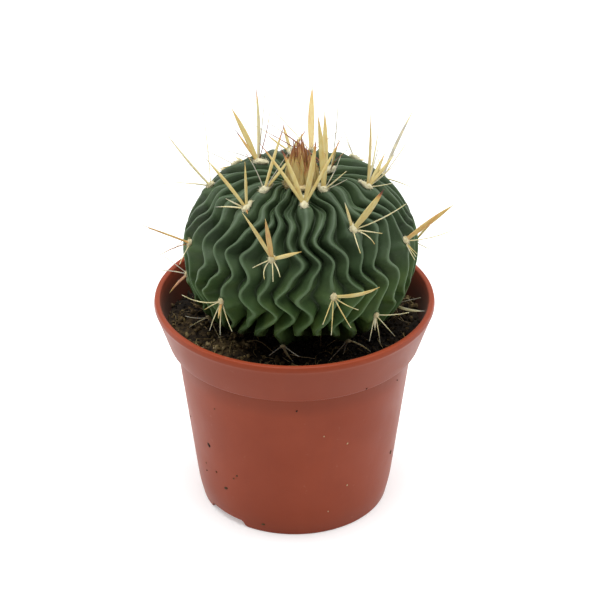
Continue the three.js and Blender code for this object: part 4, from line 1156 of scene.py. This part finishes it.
def spines_of(areole):
    number = areole["number"]
    if number in GROWN_SPINES:
        return GROWN_SPINES[number]
    low = areole["latitude"] < LOW_LATITUDE
    size = LOW_LENGTH if low else 1
    tilt = HIGH_LEAN if areole["latitude"] > HIGH_LATITUDE else 1
    usual = USUAL_SPINES[:LOW_SPINES] if low else USUAL_SPINES
    made = []
    for index, (kind, turn, lean, length, *looks) in enumerate(usual):
        seed = (number + 10) * 7 + index
        if kind == "blade" and number in STRAY_BLADES:
            made.append((kind, *STRAY_BLADES[number], *looks))
            continue
        turned = turn + TURN_SPREAD * (draw(seed) - 0.5)
        longer = size * (1 + LENGTH_SPREAD * (draw(seed + LENGTH_SEED) - 0.5))
        made.append((kind, turned, lean * tilt, length * longer, *looks))
    return made


def add_cushion(shape, place, halves, tone, tail):
    """The lumpy mound of a cushion of wool, with a tail towards the crown."""
    up, across, out = halves
    polar = np.linspace(8, 172, WOOL_ROWS)[:, None]
    turn = around(WOOL_COLUMNS)
    lumpy = 1 + 0.1 * np.sin(np.radians(turn) * 3 + polar * 0.06)
    lumpy = lumpy + 0.06 * np.sin(np.radians(turn) * 5 - polar * 0.1)
    local_up = up * sin(polar) * cos(turn) * lumpy
    local_up = local_up + tail * smooth(local_up, 0, up) * up
    local_across = across * sin(polar) * sin(turn) * lumpy
    local_across = local_across * (1 - 0.45 * smooth(local_up, 0, up * (1 + tail)) * min(tail * 2, 1))
    local_out = out * cos(polar) * (1 + 0 * turn)
    centre = place["point"] + place["out"] * WOOL_LIFT
    points = centre + along_place(place, local_up, local_across, local_out)
    ends = np.array([centre + place["out"] * out, centre - place["out"] * out])
    shape.add(*closed_grid(points, ends), WOOL_SLOT, tone=tone, **NO_GRAIN)


def add_wool(shape, place, halves, fibres, fibre_length, random, tone, tail=0.0):
    """A felted cushion: a mound with fibres lying and standing on it."""
    add_cushion(shape, place, halves, tone, tail)
    up, across, out = halves
    polar = np.degrees(np.arccos(random.uniform(0.05, 1, fibres)))
    turn = random.uniform(0, 360, fibres)
    reach = 1 + tail * np.maximum(cos(turn), 0)
    way_up, way_across, way_out = sin(polar) * cos(turn), sin(polar) * sin(turn), cos(polar)
    normal = unit(along_place(place, way_up / up, way_across / across, way_out / out))
    base = place["point"] + place["out"] * WOOL_LIFT
    base = base + along_place(place, up * reach * way_up, across * way_across, out * way_out)
    s = np.linspace(0, 1, WOOL_STEPS)
    lengths = fibre_length * random.uniform(0.5, 1.3, fibres)
    stray = random.normal(0, 0.9, (fibres, 3))
    heading = unit(normal * 0.8 + stray)
    curl = unit(np.cross(heading, random.normal(size=(fibres, 3))))
    paths = (base[:, None] - normal[:, None] * 0.12 + heading[:, None] * (lengths[:, None] * s)[..., None]
             + curl[:, None] * (lengths[:, None] * 0.45 * s ** 2)[..., None])
    radii = np.full((fibres, 1), WOOL_FIBRE_WIDTH / 2) * (1 - 0.75 * s)
    tones = np.repeat(np.clip(random.normal(tone, 0.12, fibres), 0, 1), WOOL_STEPS * WOOL_SIDES)
    shape.add(*tubes(paths, radii, WOOL_SIDES), WOOL_SLOT, tone=tones, **NO_GRAIN)


def wool_of(areole, shape, place, random):
    """The older an areole is, the smaller, greyer and balder its wool."""
    age = np.clip((areole["number"] - YOUNGEST) / WOOL_AGING, 0, 1)
    halves = [half * (0.92 - 0.4 * age) for half in WOOL]
    fibres = int(WOOL_FIBRES * (1.1 - 0.6 * age))
    tail = WOOL_TAIL * (1 - smooth(areole["number"], *WOOL_TAIL_NUMBERS))
    add_wool(shape, place, halves, fibres, 0.8 - 0.3 * age, random, 0.12 + 0.42 * age, tail)


def areole_shape(areole):
    shape = Shape()
    place = plant_frame(areole["azimuth"], areole["latitude"])
    for index, (kind, *form) in enumerate(spines_of(areole)):
        add_spine(shape, kind, place, *form, (areole["number"] + 10) * 31 + index)
    wool_of(areole, shape, place, np.random.default_rng(WOOL_SEED + areole["number"]))
    return shape


def crown_point(x, y):
    """A place on the sunken crown, from the tuft's middle."""
    y = y + TUFT_SHIFT
    reach = np.hypot(x, y)
    return plant_point(np.degrees(np.arctan2(x, -y)), np.degrees(np.arccos(reach / PLANT_RADIUS)))


def tuft_place():
    """Directions on the sunken crown: to the back, to the right, and straight out."""
    right = np.array([1.0, 0, 0])
    up = unit(crown_point(0, TUFT_TILT_REACH) - crown_point(0, -TUFT_TILT_REACH))
    return {"up": up, "right": right, "out": np.cross(right, up), "point": crown_point(0, 0)}


def add_tuft_spine(shape, place, index):
    """One spine of the tuft: straw round the outside, redder and with a dark tip in the middle."""
    lean, longer, blade, shade, dark, bow, turned, long = (draw(index + seed) for seed in TUFT_SEEDS)
    turn = index * GOLDEN_ANGLE
    away = math.sqrt((index + 0.5) / TUFT_SPINES)
    length = TUFT_LENGTH * (0.62 + 0.48 * longer) * (1.16 - 0.42 * away)
    reach = TUFT_RADIUS * away
    aside = along_place(place, TUFT_STRETCH * reach * cos(turn), reach * sin(turn), 0)
    root = dict(UPRIGHT, point=place["point"] + aside)
    kind = "blade" if away > 0.7 and blade > 0.45 else "stout"
    tone = GOLD + 0.1 - 0.22 * away ** 2 + 0.14 * (shade - 0.5)
    tip = tone + (0.36 if dark > 0.7 else 0.08)
    if away < 0.75 and long > 0.6:
        length *= TUFT_LONG
        tip = RUSSET
    add_spine(shape, kind, root, turn + TUFT_TURN * (turned - 0.5), TUFT_LEAN * away * (lean - 0.7), length,
              TUFT_BOW * (bow - 0.5), tone, tip, TUFT_SEED + index * 5, TUFT_TINTED)


def tuft_shape():
    shape = Shape()
    place = tuft_place()
    for index in range(TUFT_SPINES):
        add_tuft_spine(shape, place, index)
    add_wisps(shape)
    random = np.random.default_rng(TUFT_WOOL_SEED)
    add_wool(shape, place, TUFT_WOOL, TUFT_WOOL_FIBRES, 1.2, random, 0.6)
    return shape


def add_wisps(shape):
    """Dry curly tips and hairs that stand over the tuft."""
    random = np.random.default_rng(WISP_SEED)
    s = np.linspace(0, 1, WISP_STEPS)
    turn = random.uniform(0, 360, TUFT_WISPS)
    reach = TUFT_RADIUS * random.uniform(0.2, 0.9, TUFT_WISPS)
    start = crown_point(reach * sin(turn), reach * cos(turn) + 2)
    start = start + np.stack([0 * turn, 0 * turn, random.uniform(4, 9, TUFT_WISPS)], axis=-1)
    heading = turn + random.normal(0, 50, TUFT_WISPS)
    lean = random.uniform(15, 62, TUFT_WISPS)
    length = random.uniform(3.5, 8, TUFT_WISPS)
    along = np.stack([sin(lean) * sin(heading), sin(lean) * cos(heading), cos(lean)], axis=-1)
    curl = unit(np.cross(along, random.normal(size=(TUFT_WISPS, 3))))
    bend = (random.uniform(-0.7, 0.7, TUFT_WISPS) * length)[:, None]
    paths = (start[:, None] + along[:, None] * (length[:, None] * s)[..., None]
             + curl[:, None] * (bend * np.sin(s * 2.6) * s)[..., None])
    radii = 0.13 * (1 - 0.75 * s) * np.ones((TUFT_WISPS, 1))
    tones = np.repeat(random.uniform(RUSSET, DARK + 0.1, TUFT_WISPS), WISP_STEPS * WISP_SIDES)
    shape.add(*tubes(paths, radii, WISP_SIDES), tone=np.clip(tones, 0, 1), **NO_GRAIN)


# ---- Stage ----

def make_stage():
    mesh = bpy.data.meshes.new("floor")
    corners = [(x * FLOOR_HALF, y * FLOOR_HALF, 0) for x, y in ((-1, -1), (1, -1), (1, 1), (-1, 1))]
    mesh.from_pydata(corners, [], [(0, 1, 2, 3)])
    n = Nodes("floor_paper")
    cloud = n.band(n.noise(3.0), 0.3, 0.7)
    colour = n.mix(cloud, (0.72, 0.72, 0.72), (0.74, 0.74, 0.74))
    mesh.materials.append(n.finish(Base_Color=colour, Roughness=0.95, Specular_IOR_Level=0.1,
                                   Emission_Color=(1, 1, 1), Emission_Strength=0.33))
    floor = put_in_scene("floor", mesh)


def make_light(name, size, place, power):
    data = bpy.data.lights.new(name, "AREA")
    data.shape, data.size, data.energy = "SQUARE", size, power
    light = put_in_scene(name, data)
    light.location = place
    light.rotation_euler = (Vector(PANEL_TARGET) - Vector(place)).to_track_quat("-Z", "Y").to_euler()


def make_lights():
    """A light tent: bright above and behind, dimmer at the camera's side."""
    for panel in PANELS:
        make_light(*panel)
    world = bpy.data.worlds.new("studio")
    bpy.context.scene.world = world
    world.use_nodes = True
    tree = world.node_tree
    place = tree.nodes.new("ShaderNodeTexCoord")
    split = tree.nodes.new("ShaderNodeSeparateXYZ")
    spread = tree.nodes.new("ShaderNodeMapRange")
    spread.interpolation_type = "SMOOTHSTEP"
    for key, value in SKY.items():
        spread.inputs[key].default_value = value
    tree.links.new(place.outputs["Generated"], split.inputs[0])
    tree.links.new(split.outputs["Y"], spread.inputs["Value"])
    tree.links.new(spread.outputs["Result"], tree.nodes["Background"].inputs["Strength"])
    tree.nodes["Background"].inputs["Color"].default_value = (1, 1, 1, 1)


def make_camera():
    data = bpy.data.cameras.new("camera")
    data.sensor_width, data.lens = SENSOR_WIDTH, CAMERA_LENS
    data.clip_start, data.clip_end = CLIP
    camera = put_in_scene("camera", data)
    tilt = math.radians(CAMERA_ELEVATION)
    back, rise = CAMERA_DISTANCE * math.cos(tilt), CAMERA_DISTANCE * math.sin(tilt)
    camera.location = (CAMERA_SIDE * MM, -back * MM, (CAMERA_TARGET_HEIGHT + rise) * MM)
    camera.rotation_euler = (math.pi / 2 - tilt, 0, 0)
    bpy.context.scene.camera = camera


# ---- Assembly ----

def build():
    make_stage()
    make_lights()
    make_camera()
    pot_plastic = pot_material()
    peat = soil_material()
    flesh = flesh_material()
    horn, wool = spine_material(), wool_material()
    pot = pot_shape().piece("pot_fine", [pot_plastic], "pot_plastic", ["pot"])
    cut_drain_holes(pot)
    pot_specks().piece("pot_specks", [peat], "soil")
    soil_shape().piece("soil_fine", [peat], "soil", ["soil"])
    crumb_shape().piece("soil_crumbs", [peat], "soil")
    fibre_shape().piece("soil_fibres", [peat], "soil")
    areoles = areole_places()
    body_shape(areoles).piece("cactus_body_fine", [flesh], "cactus_flesh", ["cactus_body"])
    for index, areole in enumerate(areoles):
        name = f"areole_{index:02d}"
        areole_shape(areole).piece(name + "_fine", [horn, wool], "spines_and_wool", [name])
    tuft_shape().piece("crown_tuft_fine", [horn, wool], "crown_spines", ["crown_tuft"])


bpy.context.scene.view_settings.view_transform = "Standard"
build()
